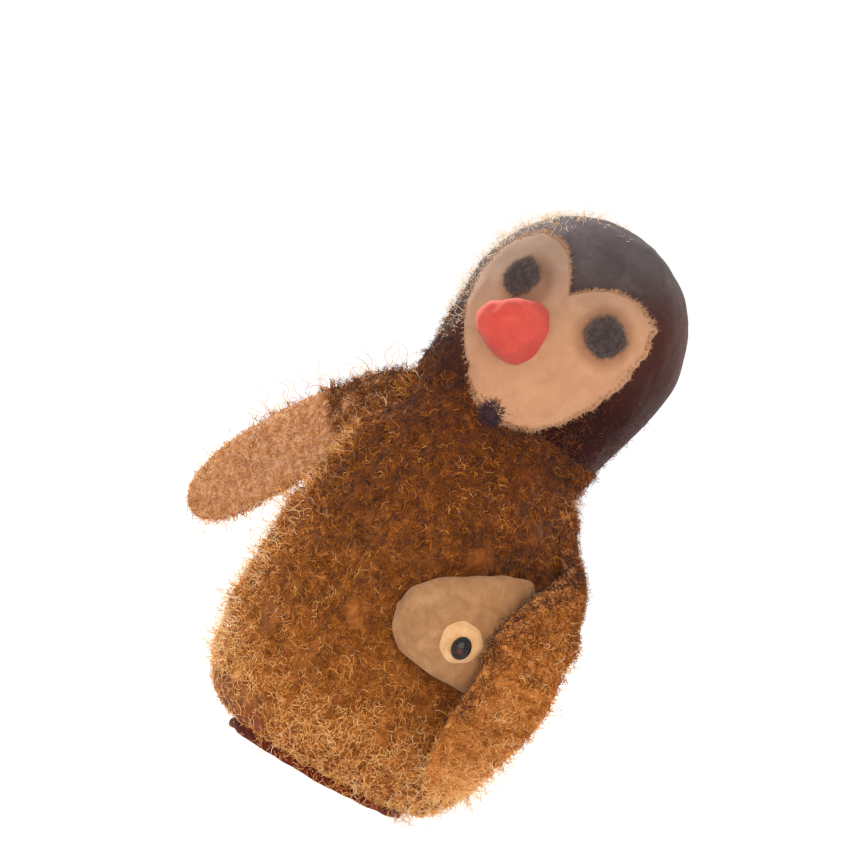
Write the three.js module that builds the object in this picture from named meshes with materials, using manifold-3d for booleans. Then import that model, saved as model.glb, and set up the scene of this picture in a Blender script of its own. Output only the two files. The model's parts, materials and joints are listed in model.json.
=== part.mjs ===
// A penguin hand puppet of soft wool felt, holding a small stuffed fish under one wing.
//
// Millimetres. +Z is up the puppet, -Y is the way its belly faces, and +X is the puppet's own left.
// The origin is the middle of the hand opening, on the plane that the hem stands on.
import * as THREE from "three";
import { mergeVertices } from "three/addons/utils/BufferGeometryUtils.js";
import Module from "manifold-3d";

const wasm = await Module();
wasm.setup();

// Felt and fits
const FELT = 3.5; // thickness of the body and hood felt
const CLEARANCE = 0.3; // between pieces that touch
const FINE = 36; // facets round a large turned piece
const COARSE = 20; // facets round a small one

// Hem and body
const HEM_RADIUS = 37; // half-width of the hand opening
const HEM_HEIGHT = 4;
const HEM_THICKNESS = 6;
const BODY_HEIGHT = 142.5; // hem plane to the neck rim
const BODY_RADIUS = 61.5; // half-width at the widest
const BODY_WIDEST_AT = 52; // height of the widest place
const BODY_FLATNESS = 0.8; // depth over width at the belly
const NECK_RADIUS = 41; // half-width of the neck rim
const ROUND_FLATNESS = 0.97; // depth over width of the neck and head

// Neck and head, measured from the neck's centre
const RIM_GAP = 15; // open height between the body's rim and the hood's rim
const NECK_LEAN = -2; // how far the neck's centre lies towards the right wing
const NECK_PLAY = 0.375; // between the neck felt and the rims it tips inside
const NECK_FELT = 2.4;
const NECK_OVERLAP = 11.5; // how far the neck felt goes inside each rim
const HEAD_RADIUS = 46.5;
const HEAD_RISE = 46; // from the hood's rim to the head's centre
const HEAD_TURN = THREE.MathUtils.degToRad(-16); // the face looks towards the right wing
const HEAD_TILT = THREE.MathUtils.degToRad(8); // and leans towards the left one
const STUFFING_RISE = 14.5; // from the hood's rim to the wool filling's lower face
const TUBE_BORE_RADIUS = 10; // room for one finger
const TUBE_WALL = 2;
const TUBE_RISE = 6.5; // from the hood's rim to the finger tube's mouth
const TUBE_LENGTH = 52;

// Face, measured on the front of the head from its centre
const MASK_HALF_WIDTH = 38.5;
const MASK_PEAK_HEIGHT = 12;
const MASK_LOBE_HEIGHT = 25;
const MASK_LOBE_OFFSET = 21;
const MASK_CHIN_DEPTH = 41;
const MASK_CHIN_HALF_WIDTH = 23;
const EYE_OFFSET = 20.5;
const EYE_HEIGHT = 6.4;
const EYE_RADIUS = 8.2;
const EYE_THICKNESS = 1.4;
const BEAK_RADIUS = 12;
const BEAK_LENGTH = 23;
const BEAK_DROP = 12.5; // below the head's centre
const BEAK_OFFSET = -7;
const BEAK_YAW = THREE.MathUtils.degToRad(-13);
const BEAK_PITCH = THREE.MathUtils.degToRad(6);
const TUFT_RADIUS = 3.4;
const TUFT_THICKNESS = 2.2;
const TUFT_OFFSET = 6;
const TUFT_HEIGHT = 12; // above the neck's centre

// Wings
const ARMHOLE_DROP = 14.5; // below the body's neck rim
const STITCH_RING_RADIUS = 5.2;
const STITCH_THREAD_RADIUS = 0.8;
const WING_LENGTH = 112;
const WING_HALF_WIDTH = 16;
const WING_ROOT_HALF_WIDTH = 5;
const WING_THICKNESS = 8;
const WING_PIVOT_REACH = 6.4; // from the root's end to the place it turns about
const RIGHT_WING_SPREAD = THREE.MathUtils.degToRad(32); // from straight down, outwards
const RIGHT_WING_SWEEP = THREE.MathUtils.degToRad(42); // backwards
const RIGHT_WING_TWIST = THREE.MathUtils.degToRad(28); // turns its inner face down
const LEFT_WING_TIP_HEIGHT = 17;
const LEFT_WING_GAP = 0.9; // between the wing and the body's skin
const LEFT_WING_STAND_OFF = 2.2; // between the wing and the fish, at the wing's front edge
const LEFT_WING_LIFT = THREE.MathUtils.degToRad(16); // the fish holds its front edge off the belly

// Fish
const FISH_HALF_HEIGHT = 25;
const FISH_SNOUT_HALF_HEIGHT = 11;
const FISH_HALF_THICKNESS = 8.5;
const FISH_GAP = 0.9; // between the fish and the body's skin
const FISH_SNOUT_ANGLE = THREE.MathUtils.degToRad(-4); // round the body, from its front
const FISH_END_ANGLE = THREE.MathUtils.degToRad(58);
const FISH_SNOUT_HEIGHT = 72;
const FISH_END_HEIGHT = 84;
const FISH_TAIL_LENGTH = 15;
const FISH_TAIL_HALF_HEIGHT = 13;
const FISH_TAIL_THICKNESS = 3.4;
const FISH_BELLY_RISE = 2.5; // the belly felt's edge over the snout's middle, at the body's front
const FISH_BELLY_SLOPE = THREE.MathUtils.degToRad(29);
const FISH_EYE_PLACE = 0.37; // along the fish, as a share of its length
const FISH_EYE_DROP = 5.5;
const FISH_EYE_RADIUS = 8.7;
const FISH_EYE_THICKNESS = 1.4;
const BEAD_HALF_WIDTH = 3.9;
const BEAD_HALF_HEIGHT = 4.6;
const BEAD_DEPTH = 5;

// Heights and sizes that follow from those
const NECK_CENTRE = new THREE.Vector3(NECK_LEAN, 0, BODY_HEIGHT + RIM_GAP / 2);
const HOOD_RIM = RIM_GAP / 2;
const HEAD_CENTRE_HEIGHT = HOOD_RIM + HEAD_RISE;
const NECK_BALL_RADIUS = (NECK_RADIUS - FELT) * ROUND_FLATNESS - NECK_PLAY;
const NECK_BALL_REACH = HOOD_RIM + NECK_OVERLAP;
const STUFFING_START = HOOD_RIM + STUFFING_RISE;
const TUBE_START = HOOD_RIM + TUBE_RISE;
const TUBE_END = TUBE_START + TUBE_LENGTH;
const ARMHOLE_HEIGHT = BODY_HEIGHT - ARMHOLE_DROP;

// ---------------------------------------------------------------- small helpers

function mix(from, to, share) {
  return from + (to - from) * share;
}

function eased(value) {
  return THREE.MathUtils.smoothstep(value, 0, 1);
}

// A manifold-3d solid from a closed three.js geometry.
function toSolid(geometry) {
  const bare = geometry.clone();
  bare.deleteAttribute("normal");
  bare.deleteAttribute("uv");
  const merged = mergeVertices(bare, 1e-4);
  const corners = merged.index.array;
  const kept = [];
  for (let i = 0; i < corners.length; i += 3) {
    const [a, b, c] = [corners[i], corners[i + 1], corners[i + 2]];
    if (a !== b && b !== c && c !== a) kept.push(a, b, c);
  }
  return new wasm.Manifold(new wasm.Mesh({
    numProp: 3,
    vertProperties: new Float32Array(merged.attributes.position.array),
    triVerts: new Uint32Array(kept),
  }));
}

function toGeometry(solid) {
  const mesh = solid.getMesh();
  const geometry = new THREE.BufferGeometry();
  geometry.setAttribute("position", new THREE.BufferAttribute(mesh.vertProperties, 3));
  geometry.setIndex(new THREE.BufferAttribute(mesh.triVerts, 1));
  geometry.computeVertexNormals();
  return geometry;
}

// Moves an outline's points sideways; a positive distance goes to the left of its direction.
function offsetOutline(points, distance) {
  return points.map((point, i) => {
    const before = points[Math.max(i - 1, 0)];
    const after = points[Math.min(i + 1, points.length - 1)];
    const along = after.clone().sub(before).normalize();
    return new THREE.Vector2(point.x - along.y * distance, point.y + along.x * distance);
  });
}

// The radius of a rising outline at a height.
function radiusAt(outline, height) {
  const next = outline.findIndex((point) => point.y > height);
  if (next <= 0) return outline[next < 0 ? outline.length - 1 : 0].x;
  const [low, high] = [outline[next - 1], outline[next]];
  return mix(low.x, high.x, (height - low.y) / (high.y - low.y));
}

// Turns a profile of (radius, height) points round +Z, flattened front to back by flatness(height).
function turned(profile, segments, flatness = () => 1) {
  const geometry = new THREE.LatheGeometry(profile, segments).rotateX(Math.PI / 2);
  const position = geometry.attributes.position;
  for (let i = 0; i < position.count; i += 1) {
    position.setY(i, position.getY(i) * flatness(position.getZ(i)));
  }
  geometry.computeVertexNormals();
  return geometry;
}

// A closed surface shaped from a sphere: place(around, along) gives the point for 0..1 each way.
function shapedSphere(around, along, place) {
  const geometry = new THREE.SphereGeometry(1, around, along);
  const position = geometry.attributes.position;
  const column = around + 1;
  for (let i = 0; i < position.count; i += 1) {
    const point = place((i % column % around) / around, Math.floor(i / column) / along);
    position.setXYZ(i, point.x, point.y, point.z);
  }
  return toGeometry(outwards(toSolid(geometry)));
}

// The same solid with its faces turned outwards.
function outwards(solid) {
  return solid.volume() < 0 ? mirrored(solid) : solid;
}

function mirrored(solid) {
  const mesh = solid.getMesh();
  const flipped = new Uint32Array(mesh.triVerts);
  for (let i = 0; i < flipped.length; i += 3) {
    [flipped[i], flipped[i + 1]] = [flipped[i + 1], flipped[i]];
  }
  return new wasm.Manifold(new wasm.Mesh({
    numProp: 3,
    vertProperties: mesh.vertProperties,
    triVerts: flipped,
  }));
}

// A straight bar with the given outline, drawn in X (across) and Z (up), running along -Y.
function frontBar(outline, length) {
  const bar = new THREE.ExtrudeGeometry(outline, { depth: length, bevelEnabled: false, curveSegments: 10 });
  return toSolid(bar.rotateX(Math.PI / 2));
}

// ---------------------------------------------------------------- materials

function felt(colour, roughness = 0.95) {
  return new THREE.MeshStandardMaterial({ color: colour, roughness, metalness: 0 });
}

const brownFelt = () => felt(0x8f5a2b);
const darkFelt = () => felt(0x4a2f2b);
const creamFelt = () => felt(0xd6ab85);
const charcoalFelt = () => felt(0x3a3238);
const redFelt = () => felt(0xe0564a, 0.85);
const purpleFelt = () => felt(0x3d2a3a);
const tanFelt = () => felt(0xa97c58);
const greyFelt = () => felt(0xa98a68);
const whiteFelt = () => felt(0xe6cfa6);
const fillingWool = () => felt(0xd9cfc0);
const thread = () => felt(0x5a3a22, 0.7);
const blackGlass = () => new THREE.MeshStandardMaterial({ color: 0x0b0908, roughness: 0.12, metalness: 0 });

// ---------------------------------------------------------------- body

// Half-width against height, from the hem to the neck rim.
function bodyOutline() {
  const start = HEM_HEIGHT + CLEARANCE;
  const outline = new THREE.Path();
  outline.moveTo(HEM_RADIUS, start);
  outline.bezierCurveTo(
    mix(HEM_RADIUS, BODY_RADIUS, 0.65), start + 1,
    BODY_RADIUS, mix(start, BODY_WIDEST_AT, 0.28),
    BODY_RADIUS, BODY_WIDEST_AT,
  );
  outline.bezierCurveTo(
    BODY_RADIUS, mix(BODY_WIDEST_AT, BODY_HEIGHT, 0.4),
    mix(NECK_RADIUS, BODY_RADIUS, 0.63), mix(BODY_WIDEST_AT, BODY_HEIGHT, 0.83),
    NECK_RADIUS, BODY_HEIGHT,
  );
  return outline.getPoints(8);
}

const BODY_OUTLINE = bodyOutline();

function bodyFlatness(height) {
  const up = (height - BODY_WIDEST_AT) / (BODY_HEIGHT - FELT - BODY_WIDEST_AT);
  return mix(BODY_FLATNESS, ROUND_FLATNESS, eased(up));
}

function bodyRadius(height) {
  return radiusAt(BODY_OUTLINE, height);
}

// The body's outward direction at an angle round it (0 is the front, 90 degrees the left side).
function bodyNormal(angle, height) {
  const radius = bodyRadius(height);
  const depth = radius * bodyFlatness(height);
  return new THREE.Vector3(Math.sin(angle) / radius, -Math.cos(angle) / depth, 0).normalize();
}

// A point outside the body's skin, or on it.
function besideBody(angle, height, outward) {
  const radius = bodyRadius(height);
  const depth = radius * bodyFlatness(height);
  const skin = new THREE.Vector3(radius * Math.sin(angle), -depth * Math.cos(angle), height);
  return skin.addScaledVector(bodyNormal(angle, height), outward);
}

function bodyFelt() {
  const inner = offsetOutline(BODY_OUTLINE, FELT).reverse();
  return turned([...BODY_OUTLINE, ...inner, BODY_OUTLINE[0]], FINE, bodyFlatness);
}

function hemBand() {
  const soft = 1.2;
  const [inside, outside] = [HEM_RADIUS - 1, HEM_RADIUS - 1 + HEM_THICKNESS];
  const section = [
    [inside + soft, 0], [outside - soft, 0], [outside, soft], [outside, HEM_HEIGHT - soft],
    [outside - soft, HEM_HEIGHT], [inside + soft, HEM_HEIGHT], [inside, HEM_HEIGHT - soft],
    [inside, soft], [inside + soft, 0],
  ];
  return turned(section.map(([radius, height]) => new THREE.Vector2(radius, height)), FINE, bodyFlatness);
}

// ---------------------------------------------------------------- neck and head

// A band of a ball about the neck's centre, so that it tips inside both rims.
function neckFelt() {
  const edge = Math.asin(NECK_BALL_REACH / NECK_BALL_RADIUS);
  const inner = NECK_BALL_RADIUS - NECK_FELT;
  const arc = (radius, from, to) => {
    const path = new THREE.Path().absarc(0, 0, radius, from, to, from > to);
    return path.getPoints(5);
  };
  const profile = [...arc(NECK_BALL_RADIUS, -edge, edge), ...arc(inner, edge, -edge)];
  return turned([...profile, profile[0]], FINE);
}

// Half-width against height over the hood, from its rim to the crown.
function headOutline() {
  const outline = new THREE.Path();
  outline.moveTo(NECK_RADIUS, HOOD_RIM);
  outline.bezierCurveTo(
    mix(NECK_RADIUS, HEAD_RADIUS, 0.2), mix(HOOD_RIM, HEAD_CENTRE_HEIGHT, 0.35),
    HEAD_RADIUS, mix(HOOD_RIM, HEAD_CENTRE_HEIGHT, 0.62),
    HEAD_RADIUS, HEAD_CENTRE_HEIGHT,
  );
  outline.absarc(0, HEAD_CENTRE_HEIGHT, HEAD_RADIUS, 0, Math.PI / 2, false);
  return outline.getPoints(7);
}

// The hood's outline moved outwards, ending on the axis.
function headSurface(outward) {
  const points = offsetOutline(headOutline(), -outward);
  points[points.length - 1].x = 0;
  return points;
}

// The whole head as one lump, outward larger than the hood, from start up.
function headLump(outward, start = HOOD_RIM) {
  const surface = headSurface(outward);
  const points = surface.filter((point) => point.y > start);
  const low = new THREE.Vector2(radiusAt(surface, start), start);
  return toSolid(turned([new THREE.Vector2(0, start), low, ...points], FINE, () => ROUND_FLATNESS));
}

function hoodShell() {
  const profile = [...headSurface(0), ...headSurface(-FELT).reverse()];
  return toSolid(turned([...profile, profile[0]], FINE, () => ROUND_FLATNESS));
}

// The heart-shaped opening in the hood, scaled about its own middle.
function maskOutline(scale) {
  const middle = HEAD_CENTRE_HEIGHT - MASK_PEAK_HEIGHT * 0.6;
  const at = (across, up) => [across * scale, middle + (HEAD_CENTRE_HEIGHT + up - middle) * scale];
  const half = (side) => [
    [at(side * 4, MASK_PEAK_HEIGHT + 7), at(side * 11, MASK_LOBE_HEIGHT), at(side * MASK_LOBE_OFFSET, MASK_LOBE_HEIGHT)],
    [at(side * 32, MASK_LOBE_HEIGHT), at(side * MASK_HALF_WIDTH, 16), at(side * MASK_HALF_WIDTH, 2)],
    [at(side * MASK_HALF_WIDTH, -15), at(side * 33, -30), at(side * MASK_CHIN_HALF_WIDTH, 3 - MASK_CHIN_DEPTH)],
    [at(side * 15, -MASK_CHIN_DEPTH), at(side * 8, -MASK_CHIN_DEPTH), at(0, -MASK_CHIN_DEPTH)],
  ];
  const shape = new THREE.Shape();
  shape.moveTo(...at(0, MASK_PEAK_HEIGHT));
  for (const [first, second, end] of half(1)) shape.bezierCurveTo(...first, ...second, ...end);
  const back = half(-1).reverse();
  const ends = [...back.slice(1).map(([, , end]) => end), at(0, MASK_PEAK_HEIGHT)];
  back.forEach(([first, second], i) => shape.bezierCurveTo(...second, ...first, ...ends[i]));
  return shape;
}

function maskBar(clearance) {
  return frontBar(maskOutline(1 + clearance / MASK_PEAK_HEIGHT / 1.4), HEAD_RADIUS * 2);
}

function headHood() {
  return toGeometry(hoodShell().subtract(maskBar(0)));
}

function faceMask() {
  return toGeometry(hoodShell().intersect(maskBar(-CLEARANCE)));
}

function headStuffing() {
  const bore = TUBE_BORE_RADIUS + TUBE_WALL + CLEARANCE;
  const hole = new THREE.CylinderGeometry(bore, bore, TUBE_END + CLEARANCE, COARSE).rotateX(Math.PI / 2);
  const hollow = new THREE.SphereGeometry(NECK_BALL_RADIUS + CLEARANCE * 4, COARSE, COARSE);
  return toGeometry(
    headLump(-FELT - CLEARANCE, STUFFING_START)
      .subtract(toSolid(hole.translate(0, 0, (TUBE_END + CLEARANCE) / 2)))
      .subtract(toSolid(hollow)),
  );
}

function fingerTube() {
  const outer = TUBE_BORE_RADIUS + TUBE_WALL;
  const profile = [
    [0, TUBE_END], [outer, TUBE_END], [outer, TUBE_START],
    [TUBE_BORE_RADIUS, TUBE_START], [TUBE_BORE_RADIUS, TUBE_END - TUBE_WALL], [0, TUBE_END - TUBE_WALL],
  ].map(([radius, height]) => new THREE.Vector2(radius, height)).reverse();
  return turned(profile, COARSE);
}

// A pad of felt that follows the head, cut to an outline.
function headPad(outline, thickness) {
  const skin = headLump(CLEARANCE + thickness).subtract(headLump(CLEARANCE));
  return toGeometry(skin.intersect(frontBar(outline, HEAD_RADIUS * 2)));
}

// An uneven eight-sided patch, cut by hand.
function eyePatch(side) {
  const reach = [1, 0.92, 1.04, 0.94, 1, 0.95, 1.02, 0.93];
  const outline = new THREE.Shape(reach.map((share, i) => {
    const angle = ((i + 0.5) / reach.length) * Math.PI * 2;
    return new THREE.Vector2(
      side * EYE_OFFSET + EYE_RADIUS * share * Math.cos(angle),
      HEAD_CENTRE_HEIGHT + EYE_HEIGHT + EYE_RADIUS * share * Math.sin(angle),
    );
  }));
  return headPad(outline, EYE_THICKNESS);
}

function beak() {
  const sunk = HEAD_RADIUS / 2;
  const outline = new THREE.Path();
  outline.moveTo(0, -sunk);
  outline.lineTo(BEAK_RADIUS, -sunk);
  outline.lineTo(BEAK_RADIUS, 0);
  outline.bezierCurveTo(BEAK_RADIUS, BEAK_LENGTH * 0.55, BEAK_RADIUS * 0.62, BEAK_LENGTH, 0, BEAK_LENGTH);
  const cone = turned(outline.getPoints(9), COARSE);
  cone.rotateX(Math.PI / 2 + BEAK_PITCH);
  cone.rotateZ(BEAK_YAW);
  cone.translate(BEAK_OFFSET, -HEAD_RADIUS * ROUND_FLATNESS + 2, HEAD_CENTRE_HEIGHT - BEAK_DROP);
  return toGeometry(outwards(toSolid(cone)).subtract(headLump(CLEARANCE)));
}

function chinTuft() {
  const outline = new THREE.Shape().absellipse(TUFT_OFFSET, TUFT_HEIGHT, TUFT_RADIUS, TUFT_RADIUS, 0, Math.PI * 2);
  return headPad(outline, TUFT_THICKNESS);
}

// ---------------------------------------------------------------- wings

// The place on the body's side where a wing is sewn, with the skin's outward direction there.
function armhole(side) {
  const step = 2;
  const rise = bodyRadius(ARMHOLE_HEIGHT + step) - bodyRadius(ARMHOLE_HEIGHT - step);
  const outward = new THREE.Vector3(side * 2 * step, 0, -rise).normalize();
  return { place: new THREE.Vector3(side * bodyRadius(ARMHOLE_HEIGHT), 0, ARMHOLE_HEIGHT), outward };
}

// The point that a wing turns about, just outside its ring of stitches.
function wingPivot(side) {
  const { place, outward } = armhole(side);
  const reach = CLEARANCE * 2 + STITCH_THREAD_RADIUS * 2 + WING_PIVOT_REACH;
  return place.clone().addScaledVector(outward, reach);
}

function stitchRing(side) {
  const { place, outward } = armhole(side);
  const ring = new THREE.TorusGeometry(STITCH_RING_RADIUS, STITCH_THREAD_RADIUS, 6, COARSE);
  const turn = new THREE.Quaternion().setFromUnitVectors(new THREE.Vector3(0, 0, 1), outward);
  const centre = place.clone().addScaledVector(outward, CLEARANCE + STITCH_THREAD_RADIUS);
  return ring.applyQuaternion(turn).translate(centre.x, centre.y, centre.z);
}

function wingWidth(share) {
  const flare = mix(WING_ROOT_HALF_WIDTH, WING_HALF_WIDTH, eased(share / 0.42));
  const tip = share > 0.7 ? Math.sqrt(Math.max(1 - ((share - 0.7) / 0.3) ** 2, 0)) : 1;
  return flare * tip * Math.sqrt(Math.min(share / 0.05, 1));
}

// How far one layer bulges.
function wingBulge(share) {
  const tip = share > 0.86 ? Math.sqrt(Math.max(1 - ((share - 0.86) / 0.14) ** 2, 0)) : 1;
  return ((WING_THICKNESS - CLEARANCE) / 2) * tip * Math.sqrt(Math.min(share / 0.05, 1));
}

// One felt layer of a wing: flat where the two layers meet and rounded outside.
// line is the wing's middle line, facing(share) its outer direction, and layer is 1 outside, -1 inside.
function wingLayer(line, facing, layer) {
  return shapedSphere(16, 18, (around, along) => {
    const share = (1 - Math.cos(Math.PI * along)) / 2;
    const centre = line.getPointAt(share);
    const ahead = line.getTangentAt(share);
    const outward = facing(share);
    outward.addScaledVector(ahead, -outward.dot(ahead)).normalize();
    const across = new THREE.Vector3().crossVectors(outward, ahead);
    const turn = around * Math.PI * 2;
    const bulge = Math.max(Math.sin(turn), 0) * wingBulge(share);
    return centre
      .addScaledVector(across, Math.cos(turn) * wingWidth(share))
      .addScaledVector(outward, layer * (CLEARANCE / 2 + bulge));
  });
}

function rightWing(layer) {
  const down = new THREE.Vector3(-Math.sin(RIGHT_WING_SPREAD), 0, -Math.cos(RIGHT_WING_SPREAD));
  const back = new THREE.Vector3(0, 1, 0);
  const ahead = down.multiplyScalar(Math.cos(RIGHT_WING_SWEEP)).addScaledVector(back, Math.sin(RIGHT_WING_SWEEP));
  const root = wingPivot(-1).addScaledVector(ahead, -WING_ROOT_HALF_WIDTH + 1);
  const end = root.clone().addScaledVector(ahead, WING_LENGTH);
  const outer = back.clone().addScaledVector(ahead, -back.dot(ahead)).normalize();
  outer.applyAxisAngle(ahead, RIGHT_WING_TWIST);
  return wingLayer(new THREE.LineCurve3(root, end), () => outer.clone(), layer);
}

// The left wing comes down the side, round over the fish and down the front of the belly.
function leftWing(layer) {
  const root = wingPivot(1).add(new THREE.Vector3(0, 0, WING_ROOT_HALF_WIDTH - 1));
  const flat = WING_THICKNESS / 2 + LEFT_WING_GAP;
  const radius = bodyRadius(FISH_END_HEIGHT);
  const edge = fishEyeAngle() + FISH_EYE_RADIUS / radius; // the front edge comes to the eye disc's edge
  const over = edge + WING_HALF_WIDTH / radius;
  const curve = radius * (1 - Math.cos(WING_HALF_WIDTH / radius));
  const lift = WING_HALF_WIDTH * Math.sin(LEFT_WING_LIFT);
  const overFish = fishReach(edge) + LEFT_WING_STAND_OFF + WING_THICKNESS / 2 + curve - lift;
  const fishTop = FISH_END_HEIGHT + FISH_HALF_HEIGHT;
  const fishBottom = FISH_END_HEIGHT - FISH_HALF_HEIGHT;
  const stops = [
    [33, fishTop + 4, flat + 2],
    [13, fishTop - 7, mix(flat, overFish, 0.65)],
    [0, FISH_END_HEIGHT, overFish],
    [-2.5, fishBottom + 8, overFish],
    [-1, mix(LEFT_WING_TIP_HEIGHT, fishBottom, 0.65), mix(flat, overFish, 0.35)],
    [3, LEFT_WING_TIP_HEIGHT, flat],
  ].map(([degrees, height, outward]) => besideBody(over + THREE.MathUtils.degToRad(degrees), height, outward));
  const line = new THREE.CatmullRomCurve3([root, ...stops]);
  const facing = (share) => {
    const point = line.getPointAt(share);
    const angle = Math.atan2(point.x, -point.y / bodyFlatness(point.z));
    return bodyNormal(angle - LEFT_WING_LIFT, point.z);
  };
  return wingLayer(line, facing, layer);
}

// ---------------------------------------------------------------- fish

function fishHalfHeight(share) {
  const head = mix(FISH_SNOUT_HALF_HEIGHT, FISH_HALF_HEIGHT, eased(share / 0.56) ** 0.8);
  const tail = share > 0.6 ? mix(1, 0.34, eased((share - 0.6) / 0.36)) : 1;
  return head * tail * Math.sqrt(Math.min(share / 0.05, (1 - share) / 0.03, 1));
}

function fishHalfThickness(share) {
  const head = mix(0.45, 1, eased(share / 0.34));
  const tail = mix(1, 0.3, eased((share - 0.45) / 0.4));
  return FISH_HALF_THICKNESS * head * tail * Math.sqrt(Math.min(share / 0.05, (1 - share) / 0.03, 1));
}

// How far the fish's outer side stands off the body's skin, at an angle round the body.
function fishReach(angle) {
  const share = (angle - FISH_SNOUT_ANGLE) / (FISH_END_ANGLE - FISH_SNOUT_ANGLE);
  return FISH_GAP + fishHalfThickness(share) * 2;
}

function fishEyeAngle() {
  return mix(FISH_SNOUT_ANGLE, FISH_END_ANGLE, FISH_EYE_PLACE);
}

// The fish's middle line lies round the belly, resting on it.
function fishPlace(share) {
  const angle = mix(FISH_SNOUT_ANGLE, FISH_END_ANGLE, share);
  const height = mix(FISH_SNOUT_HEIGHT, FISH_END_HEIGHT, eased(share / 0.6));
  return { angle, height, outward: bodyNormal(angle, height) };
}

// The fish as one stuffed lump, outward larger than its felt.
function fishLump(outward = 0) {
  return toSolid(shapedSphere(20, 20, (around, along) => {
    const share = (1 - Math.cos(Math.PI * along)) / 2;
    const { angle, height, outward: facing } = fishPlace(share);
    const turn = around * Math.PI * 2;
    const thickness = fishHalfThickness(share);
    const centre = besideBody(angle, height, thickness + FISH_GAP);
    const grown = outward * Math.sin(Math.PI * along);
    centre.z += Math.cos(turn) * (fishHalfHeight(share) + grown);
    return centre.addScaledVector(facing, Math.sin(turn) * (thickness + grown));
  }));
}

// Everything under the belly line, which slopes with the fish's lower edge.
function fishBelow(gap) {
  const size = 200;
  const block = new THREE.BoxGeometry(size, size, size).translate(0, 0, -size / 2 - gap);
  block.rotateY(FISH_BELLY_SLOPE);
  return toSolid(block.translate(0, -BODY_RADIUS, FISH_SNOUT_HEIGHT + FISH_BELLY_RISE));
}

function fishBack() {
  return toGeometry(fishLump().subtract(fishBelow(0)));
}

function fishBelly() {
  return toGeometry(fishLump().intersect(fishBelow(CLEARANCE)));
}

function fishTail() {
  const start = 1.03;
  return shapedSphere(16, 12, (around, along) => {
    const share = (1 - Math.cos(Math.PI * along)) / 2;
    const length = FISH_TAIL_LENGTH / (BODY_RADIUS * (FISH_END_ANGLE - FISH_SNOUT_ANGLE));
    const { angle, height, outward } = fishPlace(start + share * length);
    const turn = around * Math.PI * 2;
    const spread = FISH_TAIL_HALF_HEIGHT * mix(0.45, 1, share) * Math.sqrt(1 - (2 * share - 1) ** 4);
    const thickness = (FISH_TAIL_THICKNESS / 2) * Math.sin(Math.PI * along);
    const centre = besideBody(angle, height, FISH_TAIL_THICKNESS / 2 + FISH_GAP);
    centre.z += Math.cos(turn) * spread;
    return centre.addScaledVector(outward, Math.sin(turn) * thickness);
  });
}

// The fish's eye: its place on the felt's outer side and the direction it faces.
function fishEye() {
  const { angle, height, outward } = fishPlace(FISH_EYE_PLACE);
  return { place: besideBody(angle, height - FISH_EYE_DROP, fishReach(angle)), outward };
}

function facingOut(geometry, place, outward) {
  const turn = new THREE.Quaternion().setFromUnitVectors(new THREE.Vector3(0, 1, 0), outward);
  return geometry.applyQuaternion(turn).translate(place.x, place.y, place.z);
}

function fishEyeDisc() {
  const { place, outward } = fishEye();
  const rod = new THREE.CylinderGeometry(FISH_EYE_RADIUS, FISH_EYE_RADIUS, FISH_HALF_THICKNESS, COARSE);
  const skin = fishLump(CLEARANCE + FISH_EYE_THICKNESS).subtract(fishLump(CLEARANCE));
  return toGeometry(skin.intersect(toSolid(facingOut(rod, place, outward))));
}

function fishEyeBead() {
  const { place, outward } = fishEye();
  const bead = new THREE.SphereGeometry(1, COARSE, 10);
  bead.scale(BEAD_HALF_WIDTH, BEAD_DEPTH / 2, BEAD_HALF_HEIGHT);
  const reach = CLEARANCE * 2 + FISH_EYE_THICKNESS + BEAD_DEPTH / 2;
  return facingOut(bead, place.addScaledVector(outward, reach), outward);
}

// ---------------------------------------------------------------- assembly

function piece(parent, name, geometry, material) {
  const mesh = new THREE.Mesh(geometry, material);
  mesh.name = name;
  parent.add(mesh);
}

function addBody(puppet) {
  piece(puppet, "hem_band", hemBand(), darkFelt());
  piece(puppet, "body_felt", bodyFelt(), brownFelt());
}

function addHead(puppet) {
  const neck = new THREE.Group();
  neck.position.copy(NECK_CENTRE);
  neck.rotation.y = HEAD_TILT;
  puppet.add(neck);
  piece(neck, "neck_felt", neckFelt(), darkFelt());
  piece(neck, "finger_tube", fingerTube(), charcoalFelt());
  const head = new THREE.Group();
  head.rotation.z = HEAD_TURN;
  neck.add(head);
  piece(head, "head_hood", headHood(), darkFelt());
  piece(head, "head_stuffing", headStuffing(), fillingWool());
  piece(head, "face_mask", faceMask(), creamFelt());
  piece(head, "eye_right", eyePatch(-1), charcoalFelt());
  piece(head, "eye_left", eyePatch(1), charcoalFelt());
  piece(head, "beak", beak(), redFelt());
  piece(head, "chin_tuft", chinTuft(), purpleFelt());
}

function addWings(puppet) {
  piece(puppet, "wing_right_outer", rightWing(1), brownFelt());
  piece(puppet, "wing_right_inner", rightWing(-1), tanFelt());
  piece(puppet, "wing_right_stitches", stitchRing(-1), thread());
  piece(puppet, "wing_left_outer", leftWing(1), brownFelt());
  piece(puppet, "wing_left_inner", leftWing(-1), tanFelt());
  piece(puppet, "wing_left_stitches", stitchRing(1), thread());
}

function addFish(puppet) {
  piece(puppet, "fish_back", fishBack(), greyFelt());
  piece(puppet, "fish_belly", fishBelly(), whiteFelt());
  piece(puppet, "fish_tail", fishTail(), greyFelt());
  piece(puppet, "fish_eye_disc", fishEyeDisc(), whiteFelt());
  piece(puppet, "fish_eye_bead", fishEyeBead(), blackGlass());
}

const puppet = new THREE.Group();
addBody(puppet);
addHead(puppet);
addWings(puppet);
addFish(puppet);

export default puppet;
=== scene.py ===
"""A felt penguin hand puppet with a small stuffed fish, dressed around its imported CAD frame.

Sizes are in millimetres in the row frame, and every mesh is made in metres.
"""

from __future__ import annotations

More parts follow.
